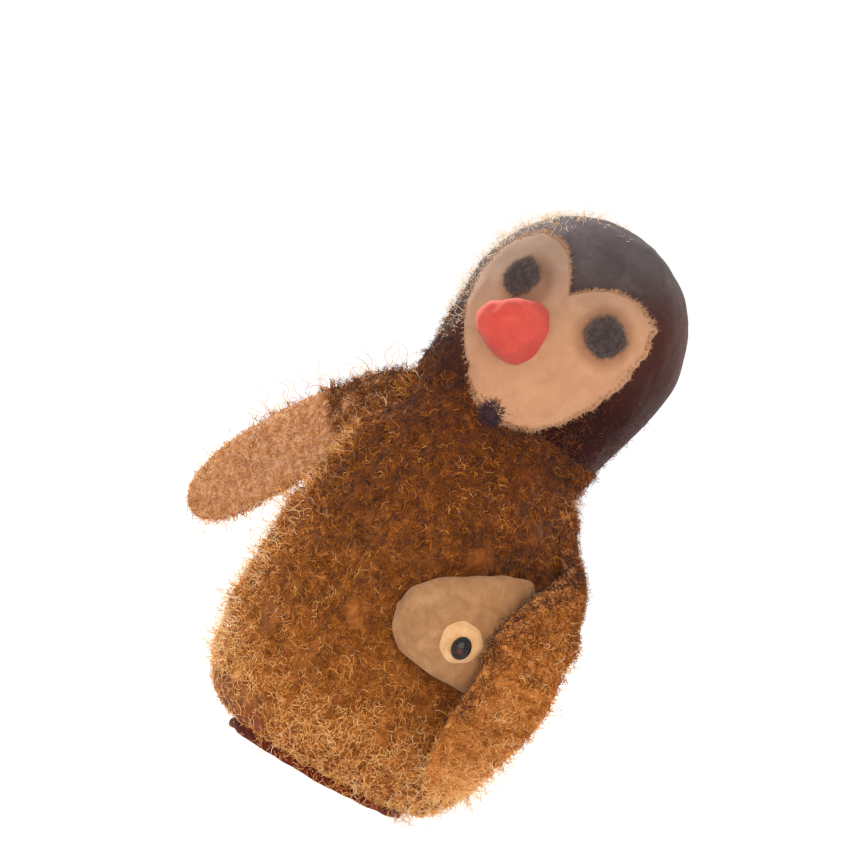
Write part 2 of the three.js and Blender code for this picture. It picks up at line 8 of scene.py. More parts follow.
import json
import logging
import math
from dataclasses import dataclass, field
from enum import Enum
from typing import Callable, Sequence

import bpy
import numpy as np
from mathutils import Matrix, Vector
from mathutils.bvhtree import BVHTree


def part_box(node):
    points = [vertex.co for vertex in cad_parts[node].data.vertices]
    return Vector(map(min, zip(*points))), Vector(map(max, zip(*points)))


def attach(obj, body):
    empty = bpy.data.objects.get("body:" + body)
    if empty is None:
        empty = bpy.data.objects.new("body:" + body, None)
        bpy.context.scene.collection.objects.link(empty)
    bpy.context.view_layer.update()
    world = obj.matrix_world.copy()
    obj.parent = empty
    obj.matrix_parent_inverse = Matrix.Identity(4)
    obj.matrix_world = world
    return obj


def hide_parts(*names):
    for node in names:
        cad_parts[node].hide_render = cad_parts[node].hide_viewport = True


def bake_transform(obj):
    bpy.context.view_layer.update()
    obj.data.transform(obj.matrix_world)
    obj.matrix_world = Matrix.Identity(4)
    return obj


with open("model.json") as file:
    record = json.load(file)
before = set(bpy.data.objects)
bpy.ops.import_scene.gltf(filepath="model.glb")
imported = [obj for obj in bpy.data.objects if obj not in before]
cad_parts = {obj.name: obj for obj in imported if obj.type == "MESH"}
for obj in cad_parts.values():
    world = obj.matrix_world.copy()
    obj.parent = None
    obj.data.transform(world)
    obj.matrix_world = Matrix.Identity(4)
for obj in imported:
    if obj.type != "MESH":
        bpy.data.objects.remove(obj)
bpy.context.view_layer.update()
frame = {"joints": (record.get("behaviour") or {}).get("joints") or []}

MM = 0.001
LOG = logging.getLogger("puppet")
Array = np.ndarray
Colour = tuple[float, float, float]
Point = tuple[float, float, float]
Rng = np.random.Generator
Piece = bpy.types.Object
Material = bpy.types.Material
Socket = bpy.types.NodeSocket


# ---- small helpers


def mix(low: float | Array, high: float | Array, share: float | Array) -> float | Array:
    """The value a share of the way from low to high."""
    return low + (high - low) * share


def eased(value: float | Array) -> float | Array:
    """A smooth step from 0 to 1."""
    held = np.clip(value, 0.0, 1.0)
    return held * held * (3 - 2 * held)


def unit(vectors: Array) -> Array:
    """The same directions with length one."""
    return vectors / np.maximum(np.linalg.norm(vectors, axis=-1, keepdims=True), 1e-9)


def dots(first: Array, second: Array) -> Array:
    """Row by row dot products, kept as a last axis of one."""
    return (first * second).sum(-1, keepdims=True)


def bezier(start: Sequence[float], first: Sequence[float], second: Sequence[float], end: Sequence[float],
           count: int) -> Array:
    """Points along a cubic curve.

    Args:
        start: where the curve starts.
        first: its first handle.
        second: its second handle.
        end: where it ends.
        count: how many points.

    Returns:
        The points, one a row.
    """
    t = np.linspace(0, 1, count)[:, None]
    corners = [np.array(p, float) for p in (start, first, second, end)]
    weights = ((1 - t) ** 3, 3 * t * (1 - t) ** 2, 3 * t * t * (1 - t), t**3)
    return sum(w * p for w, p in zip(weights, corners))


def lumps(points: Array, size: float, seed: int, waves: int = 14) -> Array:
    """Smooth unevenness from about -1 to 1, for felt that was worked by hand.

    Args:
        points: where it is wanted, in millimetres.
        size: how far apart the lumps are.
        seed: picks the pattern.
        waves: how many waves are added up.

    Returns:
        One value for each point.
    """
    rng = np.random.default_rng(seed)
    headings = unit(rng.normal(size=(waves, 3))) * rng.uniform(0.7, 1.6, (waves, 1)) * 2 * math.pi / size
    phases = rng.uniform(0, 2 * math.pi, waves)
    return np.sin(points @ headings.T + phases).sum(-1) / math.sqrt(waves)


def shown(red: float, green: float, blue: float) -> Colour:
    """A colour named as a screen shows it, 0 to 255, in the linear numbers that shaders use."""
    values = [c / 255 for c in (red, green, blue)]
    return tuple(c / 12.92 if c <= 0.04045 else ((c + 0.055) / 1.055) ** 2.4 for c in values)


def circle(count: int) -> Array:
    """Angles once round, in equal steps."""
    return np.linspace(0, 2 * math.pi, count, endpoint=False)


def spaced(start: float, end: float, count: int) -> Array:
    """Shares from 0 to 1 that crowd towards both ends."""
    return (1 - np.cos(np.linspace(start, math.pi - end, count))) / 2


def carried(points: Array, matrix: Matrix) -> Array:
    """Points moved by a matrix."""
    turned = np.array(matrix)
    return points @ turned[:3, :3].T + turned[:3, 3]


def offset(outline: Array, distance: float) -> Array:
    """An outline moved to its left by a distance."""
    along = unit(np.gradient(outline, axis=0))
    return outline + np.stack([-along[:, 1], along[:, 0]], axis=1) * distance


# ---- meshes


@dataclass
class Skin:
    """A surface in millimetres: its points, and its faces grouped by how many corners they have."""

    points: Array
    faces: list[Array]

    def triangles(self) -> Array:
        """Every face cut into triangles."""
        return np.concatenate([group[:, [0, k, k + 1]]
                               for group in self.faces for k in range(1, group.shape[1] - 1)])

    def normals(self) -> Array:
        """The outward direction at each point.

        Returns:
            A direction for each point, of length one.
        """
        corners = self.triangles()
        a, b, c = (self.points[corners[:, k]] for k in range(3))
        across = np.cross(b - a, c - a)
        total = np.zeros_like(self.points)
        for k in range(3):
            np.add.at(total, corners[:, k], across)
        return unit(total)

    def moved(self, distance: Array) -> "Skin":
        """The same surface with each point moved along its outward direction."""
        return Skin(self.points + self.normals() * distance[:, None], self.faces)

    def scattered(self, count: int, rng: Rng) -> tuple[Array, Array]:
        """Places spread evenly over the surface.

        Args:
            count: how many.
            rng: the seeded source of chance.

        Returns:
            The places, and the outward direction at each.
        """
        corners = self.triangles()
        a, b, c = (self.points[corners[:, k]] for k in range(3))
        area = np.linalg.norm(np.cross(b - a, c - a), axis=1)
        chosen = rng.choice(len(area), count, p=area / area.sum())
        u, v = rng.random((2, count, 1))
        flip = u + v > 1
        u, v = np.where(flip, 1 - u, u), np.where(flip, 1 - v, v)
        normals = self.normals()
        parts = [normals[corners[chosen, k]] for k in range(3)]
        facing = unit(parts[0] * (1 - u - v) + parts[1] * u + parts[2] * v)
        return a[chosen] * (1 - u - v) + b[chosen] * u + c[chosen] * v, facing


def grid(rows: int, columns: int, closed: bool = False) -> Array:
    """The quads between rings of points that follow each other.

    Args:
        rows: how many rings.
        columns: how many points in a ring, which closes on itself.
        closed: whether the last ring joins the first.

    Returns:
        The corners of each quad.
    """
    steps = rows if closed else rows - 1
    row, column = np.divmod(np.arange(steps * columns), columns)
    after, beside = (row + 1) % rows, (column + 1) % columns
    return np.stack([row * columns + column, row * columns + beside,
                     after * columns + beside, after * columns + column], axis=1)


def lofted(rings: Array, ends: bool = True) -> Skin:
    """A surface through rings of points.

    Args:
        rings: rings by points by three, turning anticlockwise as seen from the last ring.
        ends: whether the first and last ring are closed with fans; otherwise they join each other.

    Returns:
        The closed surface.
    """
    count, around = rings.shape[:2]
    points = rings.reshape(-1, 3)
    if not ends:
        return Skin(points, [grid(count, around, closed=True)])
    low, high = rings[0].mean(0), rings[-1].mean(0)
    points = np.vstack([points, low, high])
    turn = np.arange(around)
    beside = (turn + 1) % around
    first = np.stack([beside, turn, np.full(around, count * around)], axis=1)
    base = (count - 1) * around
    last = np.stack([base + turn, base + beside, np.full(around, count * around + 1)], axis=1)
    return Skin(points, [grid(count, around), np.vstack([first, last])])


def outwards(skin: Skin) -> Skin:
    """The same closed surface with its faces turned out.

    Args:
        skin: a closed surface.

    Returns:
        The surface, turned if it needed it.
    """
    corners = skin.triangles()
    a, b, c = (skin.points[corners[:, k]] for k in range(3))
    if (a * np.cross(b, c)).sum() >= 0:
        return skin
    return Skin(skin.points, [group[:, ::-1] for group in skin.faces])


def made(name: str, skin: Skin, materials: Sequence[Material],
         slots: Sequence[Array] | None = None) -> Piece:
    """A Blender object from a surface.

    Args:
        name: the piece's name.
        skin: its surface, in millimetres.
        materials: its materials, in slot order.
        slots: the material slot of each face, for each group of faces.

    Returns:
        The object, in the scene.
    """
    mesh = bpy.data.meshes.new(name)
    counts = np.concatenate([np.full(len(group), group.shape[1]) for group in skin.faces])
    corners = np.concatenate([group.ravel() for group in skin.faces])
    mesh.vertices.add(len(skin.points))
    mesh.vertices.foreach_set("co", (skin.points * MM).astype(np.float32).ravel())
    mesh.loops.add(len(corners))
    mesh.loops.foreach_set("vertex_index", corners.astype(np.int32))
    mesh.polygons.add(len(counts))
    mesh.polygons.foreach_set("loop_start", (np.cumsum(counts) - counts).astype(np.int32))
    mesh.polygons.foreach_set("use_smooth", np.ones(len(counts), bool))
    for material in materials:
        mesh.materials.append(material)
    if slots is not None:
        mesh.polygons.foreach_set("material_index", np.concatenate(slots).astype(np.int32))
    mesh.update(calc_edges=True)
    mesh.validate()
    piece = bpy.data.objects.new(name, mesh)
    bpy.context.scene.collection.objects.link(piece)
    return piece


def placed(name: str, skin: Skin, material: Material, bodies: Sequence[str], nodes: Sequence[str] = (),
           ends: tuple[Point, Point] | None = None) -> Piece:
    """A piece that rides one body, or is left unparented where it spans two.

    Args:
        name: the piece's name.
        skin: its surface, in millimetres.
        material: its finish.
        bodies: the body that it rides, or the two that it spans.
        nodes: the CAD nodes that it stands for.
        ends: where it spans two bodies, in metres; when given, the piece is left unparented.

    Returns:
        The object.
    """
    piece = made(name, skin, [material])
    if ends:
        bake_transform(piece)
    else:
        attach(piece, *bodies)
    if nodes:
        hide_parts(*nodes)
    LOG.info("%s made", name)
    return piece


# ---- finishes


class Reach(Enum):
    """How a tint spreads over a felt: along a straight line, or round a point."""

    ALONG = "DOT_PRODUCT"
    ROUND = "DISTANCE"


class Nodes:
    """The nodes of one material, as they are wired."""

    def __init__(self, name: str, values: dict[str, float | Colour]) -> None:
        """Starts a material with a shader that holds plain values.

        Args:
            name: the material's name.
            values: the shader's plain values, by input.
        """
        self.material = bpy.data.materials.new(name)
        self.material.use_nodes = True
        self.tree = self.material.node_tree
        self.shader = self.tree.nodes["Principled BSDF"]
        self.wire(self.shader, values)

    def wire(self, node: bpy.types.Node, values: dict) -> None:
        """Sets a node's inputs, each to a value or to another node's output.

        Args:
            node: the node.
            values: values or sockets, by input.
        """
        for name, value in values.items():
            if isinstance(value, Socket):
                self.tree.links.new(value, node.inputs[name])
            else:
                node.inputs[name].default_value = value

    def add(self, kind: str, values: dict, output: str | int = 0, **choices: str) -> Socket:
        """A new node's output, with the node's choices made and its inputs wired.

        Args:
            kind: the node's kind, without its usual prefix.
            values: values or sockets, by input.
            output: which output is wanted.
            choices: the node's own settings.

        Returns:
            The output.
        """
        node = self.tree.nodes.new("ShaderNode" + kind)
        for name, choice in choices.items():
            setattr(node, name, choice)
        self.wire(node, values)
        return node.outputs[output]

    def noise(self, place: Socket, size: float, detail: float, tangled: float) -> Socket:
        """A cloudy value whose features are about size millimetres."""
        return self.add("TexNoise", {"Scale": 1 / (size * MM), "Detail": detail, "Roughness": 0.62,
                                     "Distortion": tangled, "Vector": place}, "Fac")

    def ranged(self, value: Socket, low: float, high: float, to_low: float, to_high: float) -> Socket:
        """The value stretched from one range to another."""
        return self.add("MapRange", {"From Min": low, "From Max": high, "To Min": to_low, "To Max": to_high,
                                     "Value": value}, "Result")

    def multiplied(self, colour: Socket, by: Socket | tuple, share: Socket | float) -> Socket:
        """The colour multiplied by another, by a share."""
        return self.add("MixRGB", {"Fac": share, "Color1": colour, "Color2": by}, "Color", blend_type="MULTIPLY")

    def ramp(self, value: Socket, first: tuple, last: tuple, *between: tuple) -> Socket:
        """A colour picked by a value, between places that each have a colour.

        Args:
            value: the socket that picks.
            first: the lowest place and its colour.
            last: the highest place and its colour.
            between: places and colours between them.

        Returns:
            The ramp's colour.
        """
        node = self.tree.nodes.new("ShaderNodeValToRGB")
        stops = node.color_ramp.elements
        for stop, (place, colour) in zip((stops[0], stops[1]), (first, last)):
            stop.position, stop.color = place, (*colour, 1)
        for place, colour in between:
            stops.new(place).color = (*colour, 1)
        self.wire(node, {"Fac": value})
        return node.outputs["Color"]


@dataclass(frozen=True)
class Tint:
    """A colour that multiplies a felt's own, fading in from start to end.

    An ALONG tint measures from the row frame's origin along the direction in place, and a ROUND tint
    from the point in place, both in millimetres.
    """

    colour: Colour
    place: Point
    start: float
    end: float
    reach: Reach = Reach.ALONG

    def spread(self, nodes: Nodes, place: Socket) -> Socket:
        """How much of the tint there is at a place.

        Args:
            nodes: the material being wired.
            place: the socket that holds the place.

        Returns:
            A share from 0 to 1.
        """
        target = self.place if self.reach is Reach.ALONG else [c * MM for c in self.place]
        value = nodes.add("VectorMath", {0: place, 1: target}, "Value", operation=self.reach.value)
        return nodes.add("MapRange", {"From Min": self.start * MM, "From Max": self.end * MM, "Value": value},
                         "Result", interpolation_type="SMOOTHSTEP")


@dataclass(frozen=True)
class Felt:
    """Needled wool felt: patches of darker and lighter wool under a fine tangle of fibres."""

    name: str
    dark: Colour
    middle: Colour
    light: Colour
    patch: float = 6.0
    fibre: float = 0.55
    speckle: float = 0.35
    bump: float = 0.5
    sheen: float = 0.08
    rough: tuple[float, float] = (0.82, 1.0)
    tints: tuple[Tint, ...] = ()

    def material(self) -> Material:
        """The felt as a material of nodes.

        Returns:
            The material.
        """
        nodes = Nodes(self.name, {"Sheen Weight": self.sheen, "Sheen Roughness": 0.5, "Specular IOR Level": 0.15})
        place = nodes.add("TexCoord", {}, "Object")
        patches = nodes.noise(place, self.patch, 4.0, 0.6)
        tangle = nodes.noise(place, self.fibre, 6.0, 2.2)
        colour = nodes.ramp(patches, (0.3, self.dark), (0.72, self.light), (0.5, self.middle))
        flecks = nodes.ranged(tangle, 0.32, 0.68, 1 - self.speckle, 1 + self.speckle)
        colour = nodes.multiplied(colour, flecks, 1.0)
        for tint in self.tints:
            colour = nodes.multiplied(colour, (*tint.colour, 1), tint.spread(nodes, place))
        relief = nodes.add("Bump", {"Strength": self.bump, "Distance": self.fibre * MM, "Height": tangle})
        nodes.wire(nodes.shader, {"Base Color": colour, "Roughness": nodes.ranged(tangle, 0.3, 0.7, *self.rough),
                                  "Normal": relief})
        return nodes.material

@dataclass(frozen=True)
class Bead:
    """Polished black glass with a faint warm cloud painted in it for reddish glints."""

    name: str
    deep: Colour
    painted_glint: Colour

    def material(self) -> Material:
        """The glass as a material of nodes.

        Returns:
            The material.
        """
        nodes = Nodes(self.name, {"Roughness": 0.12, "Specular IOR Level": 0.3})
        # Painted glints: warm clouds in the glass's own colour.
        cloud = nodes.add("TexNoise", {"Scale": 320, "Vector": nodes.add("TexCoord", {}, "Object")}, "Fac")
        nodes.wire(nodes.shader, {"Base Color": nodes.ramp(cloud, (0.5, self.deep), (0.75, self.painted_glint))})
        return nodes.material


class Wool(Enum):
    """The dyed wools that the curls are made of, from the darkest to the palest."""

    SOOT = (60, 42, 40)
    PLUM = (92, 58, 46)
    UMBER = (116, 65, 30)
    CHESTNUT = (150, 84, 24)
    AMBER = (192, 118, 46)
    HONEY = (222, 150, 78)
    STRAW = (244, 190, 122)
    CREAM = (253, 228, 188)
    FROST = (236, 230, 222)
    FLAX = (190, 144, 108)
    SMOKE = (104, 88, 84)
    SLOE = (62, 44, 54)

    def material(self) -> Material:
        """The wool's material, made once.

        Returns:
            The material.
        """
        name = "wool_" + self.name.lower()
        colour = (*shown(*self.value), 1)
        found = bpy.data.materials.get(name)
        return found or Nodes(name, {"Base Color": colour, "Roughness": 0.8, "Specular IOR Level": 0.1}).material


WOOLS = [wool for wool in Wool if wool not in (Wool.FLAX, Wool.SMOKE, Wool.SLOE)]


# ---- wool


@dataclass(frozen=True)
class Pile:
    """How the wool of a surface stands: lengths, thickness and curl in millimetres."""

    length: tuple[float, float]
    thickness: float
    lean: tuple[float, float] = (0.4, 0.8)
    curl: tuple[float, float] = (0.3, 0.9)
    turns: tuple[float, float] = (0.4, 1.3)
    rings: int = 6
    pull: Point = (0.0, 0.0, 0.0)

    def strands(self, roots: Array, facing: Array, rng: Rng) -> Array:
        """The middle line of a curl of wool at each root.

        Args:
            roots: where the wool leaves the felt.
            facing: the felt's outward direction there.
            rng: the seeded source of chance.

        Returns:
            Points, by root and by place along the curl.
        """
        count = len(roots)
        along = np.linspace(0, 1, self.rings)[None, :, None]
        length = rng.uniform(*self.length, (count, 1, 1))
        lean = rng.uniform(*self.lean, (count, 1))
        side = unit(np.cross(facing, rng.normal(size=(count, 3))))
        heading = unit(facing * (1 - lean) + side * lean + np.array(self.pull))[:, None]
        first = unit(np.cross(heading, rng.normal(size=(count, 1, 3))))
        second = np.cross(heading, first)
        phase = rng.uniform(0, 2 * math.pi, (count, 1, 1))
        turn = phase + along * 2 * math.pi * rng.uniform(*self.turns, (count, 1, 1))
        wide = rng.uniform(*self.curl, (count, 1, 1)) * np.sqrt(along)
        line = roots[:, None] + heading * length * along
        line = line + wide * ((np.cos(turn) - np.cos(phase)) * first + (np.sin(turn) - np.sin(phase)) * second)
        rise = dots(line - roots[:, None], facing[:, None])
        return line + facing[:, None] * np.maximum(self.thickness * along - rise, 0)

    def tubes(self, lines: Array) -> Skin:
        """Thin closed tubes along middle lines.

        Args:
            lines: middle lines, by tube and by place along it.

        Returns:
            Their surface, all in one.
        """
        count, rings = lines.shape[:2]
        ahead = unit(np.gradient(lines, axis=1))
        first = unit(np.cross(ahead, ahead[:, :1] + np.array([0.31, 0.57, 0.76])))
        second = np.cross(ahead, first)
        along = np.linspace(0, 1, rings)[None, :, None]
        radius = self.thickness / 2 * (1 - 0.7 * along**2)
        corners = []
        for k in range(3):
            angle = 2 * math.pi * k / 3
            corners.append(lines + radius * (math.cos(angle) * first + math.sin(angle) * second))
        points = np.stack(corners, axis=2).reshape(-1, 3)
        one = grid(rings, 3)
        shift = (np.arange(count) * rings * 3)[:, None, None]
        quads = (one[None] + shift).reshape(-1, 4)
        last = (rings - 1) * 3
        caps = np.array([[2, 1, 0], [last, last + 1, last + 2]])
        return Skin(points, [quads, (caps[None] + shift).reshape(-1, 3)])


@dataclass
class Ground:
    """Places that wool grows from, with the felt's outward direction at each."""

    roots: Array
    facing: Array

    def __len__(self) -> int:
        """How many places there are."""
        return len(self.roots)

    def kept(self, keep: Array) -> "Ground":
        """Only some of the places."""
        return Ground(self.roots[keep], self.facing[keep])


@dataclass
class Fleece:
    """Wool curls on one part of the puppet, made as pieces of a few thousand curls each."""

    name: str
    pile: Pile
    ground: Ground
    shade: Array
    seed: int
    most: int = 5600

    def pieces(self) -> list[Piece]:
        """The curls as objects, each holding every shade.

        Returns:
            The objects.
        """
        rng = np.random.default_rng(self.seed)
        lines = self.pile.strands(self.ground.roots, self.ground.facing, rng)
        shades = np.clip(np.round(self.shade), 0, len(WOOLS) - 1).astype(int)
        number = max(1, math.ceil(len(lines) / self.most))
        found = []
        for k in range(number):
            chosen = slice(k, None, number)
            skin = self.pile.tubes(lines[chosen])
            slots = [np.repeat(shades[chosen], len(group) // len(lines[chosen])) for group in skin.faces]
            name = self.name if number == 1 else f"{self.name}_{k + 1}"
            found.append(made(name, skin, [wool.material() for wool in WOOLS], slots))
        return found


# ---- the puppet's form


@dataclass
class Form:
    """The outlines that the body, neck and head share, and where the neck tips."""

    hem_radius: float = 37.0
    hem_height: float = 4.0
    body_radius: float = 61.5
    body_widest_at: float = 52.0
    body_flatness: float = 0.8
    neck_radius: float = 41.0
    round_flatness: float = 0.97
    head_radius: float = 46.5
    rim: float = 7.5
    lean_start: float = 108.0
    inset: float = 0.8
    head_turn: float = math.radians(-16)
    pivot: Array = field(init=False)
    tilt: float = field(init=False)
    axis: Array = field(init=False)
    body_height: float = field(init=False)
    head_centre: float = field(init=False)
    outline: Array = field(init=False)

    def __post_init__(self) -> None:
        """Reads the neck's place and the body's height from the frame."""
        joints = {joint["name"]: joint for joint in frame["joints"]}
        turning = joints["head_turn"]
        self.pivot = np.array(turning["pos_m"], float) / MM
        axis = np.array(turning["axis"], float)
        self.tilt = math.atan2(axis[0], axis[2])
        self.axis = np.array([math.sin(self.tilt), 0, math.cos(self.tilt)])
        self.body_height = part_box("body_felt")[1].z / MM
        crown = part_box("head_hood")[1].z / MM
        self.head_centre = (crown - self.head_radius - self.pivot[2]) / math.cos(self.tilt)
        self.outline = self._outline()

    def _outline(self) -> Array:
        """Half-width against height from the hem to the crown, measured along the puppet's middle.

        Returns:
            Half-widths and heights, one pair a row.
        """
        start = self.hem_height + 0.3
        wide, neck, widest, top = self.body_radius, self.neck_radius, self.body_widest_at, self.body_height
        low = bezier((self.hem_radius, start), (mix(self.hem_radius, wide, 0.65), start + 1),
                     (wide, mix(start, widest, 0.28)), (wide, widest), 26)
        high = bezier((wide, widest), (wide, mix(widest, top, 0.4)),
                      (mix(neck, wide, 0.63), mix(widest, top, 0.83)), (neck, top), 30)
        middle = self.pivot[2]
        rim, centre, round_ = middle + self.rim, middle + self.head_centre, self.head_radius
        collar = bezier((neck, top), (neck - 0.9, top + 5), (neck - 0.9, rim - 5), (neck, rim), 10)
        nape = bezier((neck, rim), (mix(neck, round_, 0.2), mix(rim, centre, 0.35)),
                      (round_, mix(rim, centre, 0.62)), (round_, centre), 22)
        turn = np.linspace(0, math.pi / 2, 30)
        crown = np.stack([round_ * np.cos(turn), centre + round_ * np.sin(turn)], axis=1)
        return np.vstack([low, high[1:], collar[1:], nape[1:], crown[1:]])

    def radius(self, height: float | Array) -> float | Array:
        """Half-width at a height along the puppet's middle."""
        return np.interp(height, self.outline[:, 1], self.outline[:, 0])

    def flatness(self, height: float | Array) -> float | Array:
        """Depth over width at a height."""
        up = (height - self.body_widest_at) / (self.body_height - 3.5 - self.body_widest_at)
        return mix(self.body_flatness, self.round_flatness, eased(up))

    def middle(self, height: Array) -> tuple[Array, Array]:
        """The puppet's middle line, which leans over at the neck.

        Args:
            height: heights along it.

        Returns:
            Its points, and the lean at each as an angle.
        """
        height = np.asarray(height, float)
        lean = eased((height - self.lean_start) / (self.pivot[2] + 4 - self.lean_start))
        upright = np.stack([0 * height, 0 * height, height], axis=-1)
        leaning = self.pivot + (height - self.pivot[2])[..., None] * self.axis
        return mix(upright, leaning, lean[..., None]), self.tilt * lean

    def ring(self, height: Array, radius: Array, around: int = 160) -> Array:
        """Rings round the puppet's middle line.

        Args:
            height: each ring's height along the middle line.
            radius: its half-width.
            around: how many points in a ring.

        Returns:
            Rings by points by three.
        """
        centre, lean = self.middle(height)
        turn = circle(around)
        across = (radius[:, None] * np.sin(turn))[..., None]
        deep = ((radius * self.flatness(height))[:, None] * -np.cos(turn))[..., None]
        sideways = np.stack([np.cos(lean), 0 * lean, -np.sin(lean)], axis=-1)[:, None]
        return centre[:, None] + across * sideways + deep * np.array([0, 1, 0])

    def normal(self, angle: float | Array, height: float | Array) -> Array:
        """The body's outward direction at an angle round it, 0 at the front.

        Args:
            angle: angles round the body, 0 at the front.
            height: heights along the middle line.

        Returns:
            Directions of length one.
        """
        radius = self.radius(height)
        depth = radius * self.flatness(height)
        angle = np.asarray(angle, float)
        return unit(np.stack([np.sin(angle) / radius, -np.cos(angle) / depth, 0 * angle], axis=-1))

    def beside(self, angle: float | Array, height: float | Array, outward: float | Array) -> Array:
        """A point outside the body's skin at an angle and a height.

        Args:
            angle: angles round the body, 0 at the front.
            height: heights along the middle line.
            outward: how far off the skin, in millimetres.

        Returns:
            The points.
        """
        angle = np.asarray(angle, float)
        radius = self.radius(height)
        skin = np.stack([radius * np.sin(angle), -radius * self.flatness(height) * np.cos(angle),
                         height + 0 * angle], axis=-1)
        return skin + self.normal(angle, height) * np.asarray(outward)[..., None]

    def along_neck(self, distance: float) -> Point:
        """The point on the neck's own line at a distance above its pivot, in metres."""
        return tuple((self.pivot + self.axis * distance) * MM)

    def bend(self, seam: "Seam") -> tuple[Point, Point]:
        """Where a seam of the skin starts and ends, in metres."""
        return self.along_neck(seam.start), self.along_neck(seam.end)

    def neck_height(self, points: Array) -> Array:
        """How far points lie above the neck's pivot, along the neck."""
        return (points - self.pivot) @ self.axis

    def head_matrix(self) -> Matrix:
        """From the head's own frame, with its origin at the neck's pivot, to the row frame."""
        return (Matrix.Translation(Vector(self.pivot)) @ Matrix.Rotation(self.tilt, 4, "Y")
                @ Matrix.Rotation(self.head_turn, 4, "Z"))

    def from_head(self, points: Array) -> Array:
        """Points given in the head's frame, in the row frame."""
        return carried(points, self.head_matrix())

    def head_front(self, across: Array, up: Array, outward: float | Array = 0.0) -> Array:
        """Points on the front of the head, in the head's frame.

        Args:
            across: towards the puppet's left.
            up: above the head's centre.
            outward: how far off the hood's surface.

        Returns:
            The points.
        """
        height = self.head_centre + up
        radius = self.radius(height + self.pivot[2]) + outward
        deep = np.sqrt(np.maximum(radius**2 - across**2, 0.5)) * self.round_flatness
        return np.stack([across, -deep, height + outward * up / self.head_radius], axis=-1)


# ---- body, neck and hood


class Seam(Enum):
    """Where the skin passes from one body to the next, in millimetres along the neck from its pivot."""

    TILT = (-20.0, 4.0, "torso", "neck")
    NOD = (4.0, 12.0, "neck", "tube")
    TURN = (12.0, 16.0, "tube", "head")

    @property
    def start(self) -> float:
        """Where it starts."""
        return self.value[0]

    @property
    def end(self) -> float:
        """Where it ends."""
        return self.value[1]

    @property
    def bodies(self) -> tuple[str, str]:
        """The body below it and the body above it."""
        return self.value[2:]


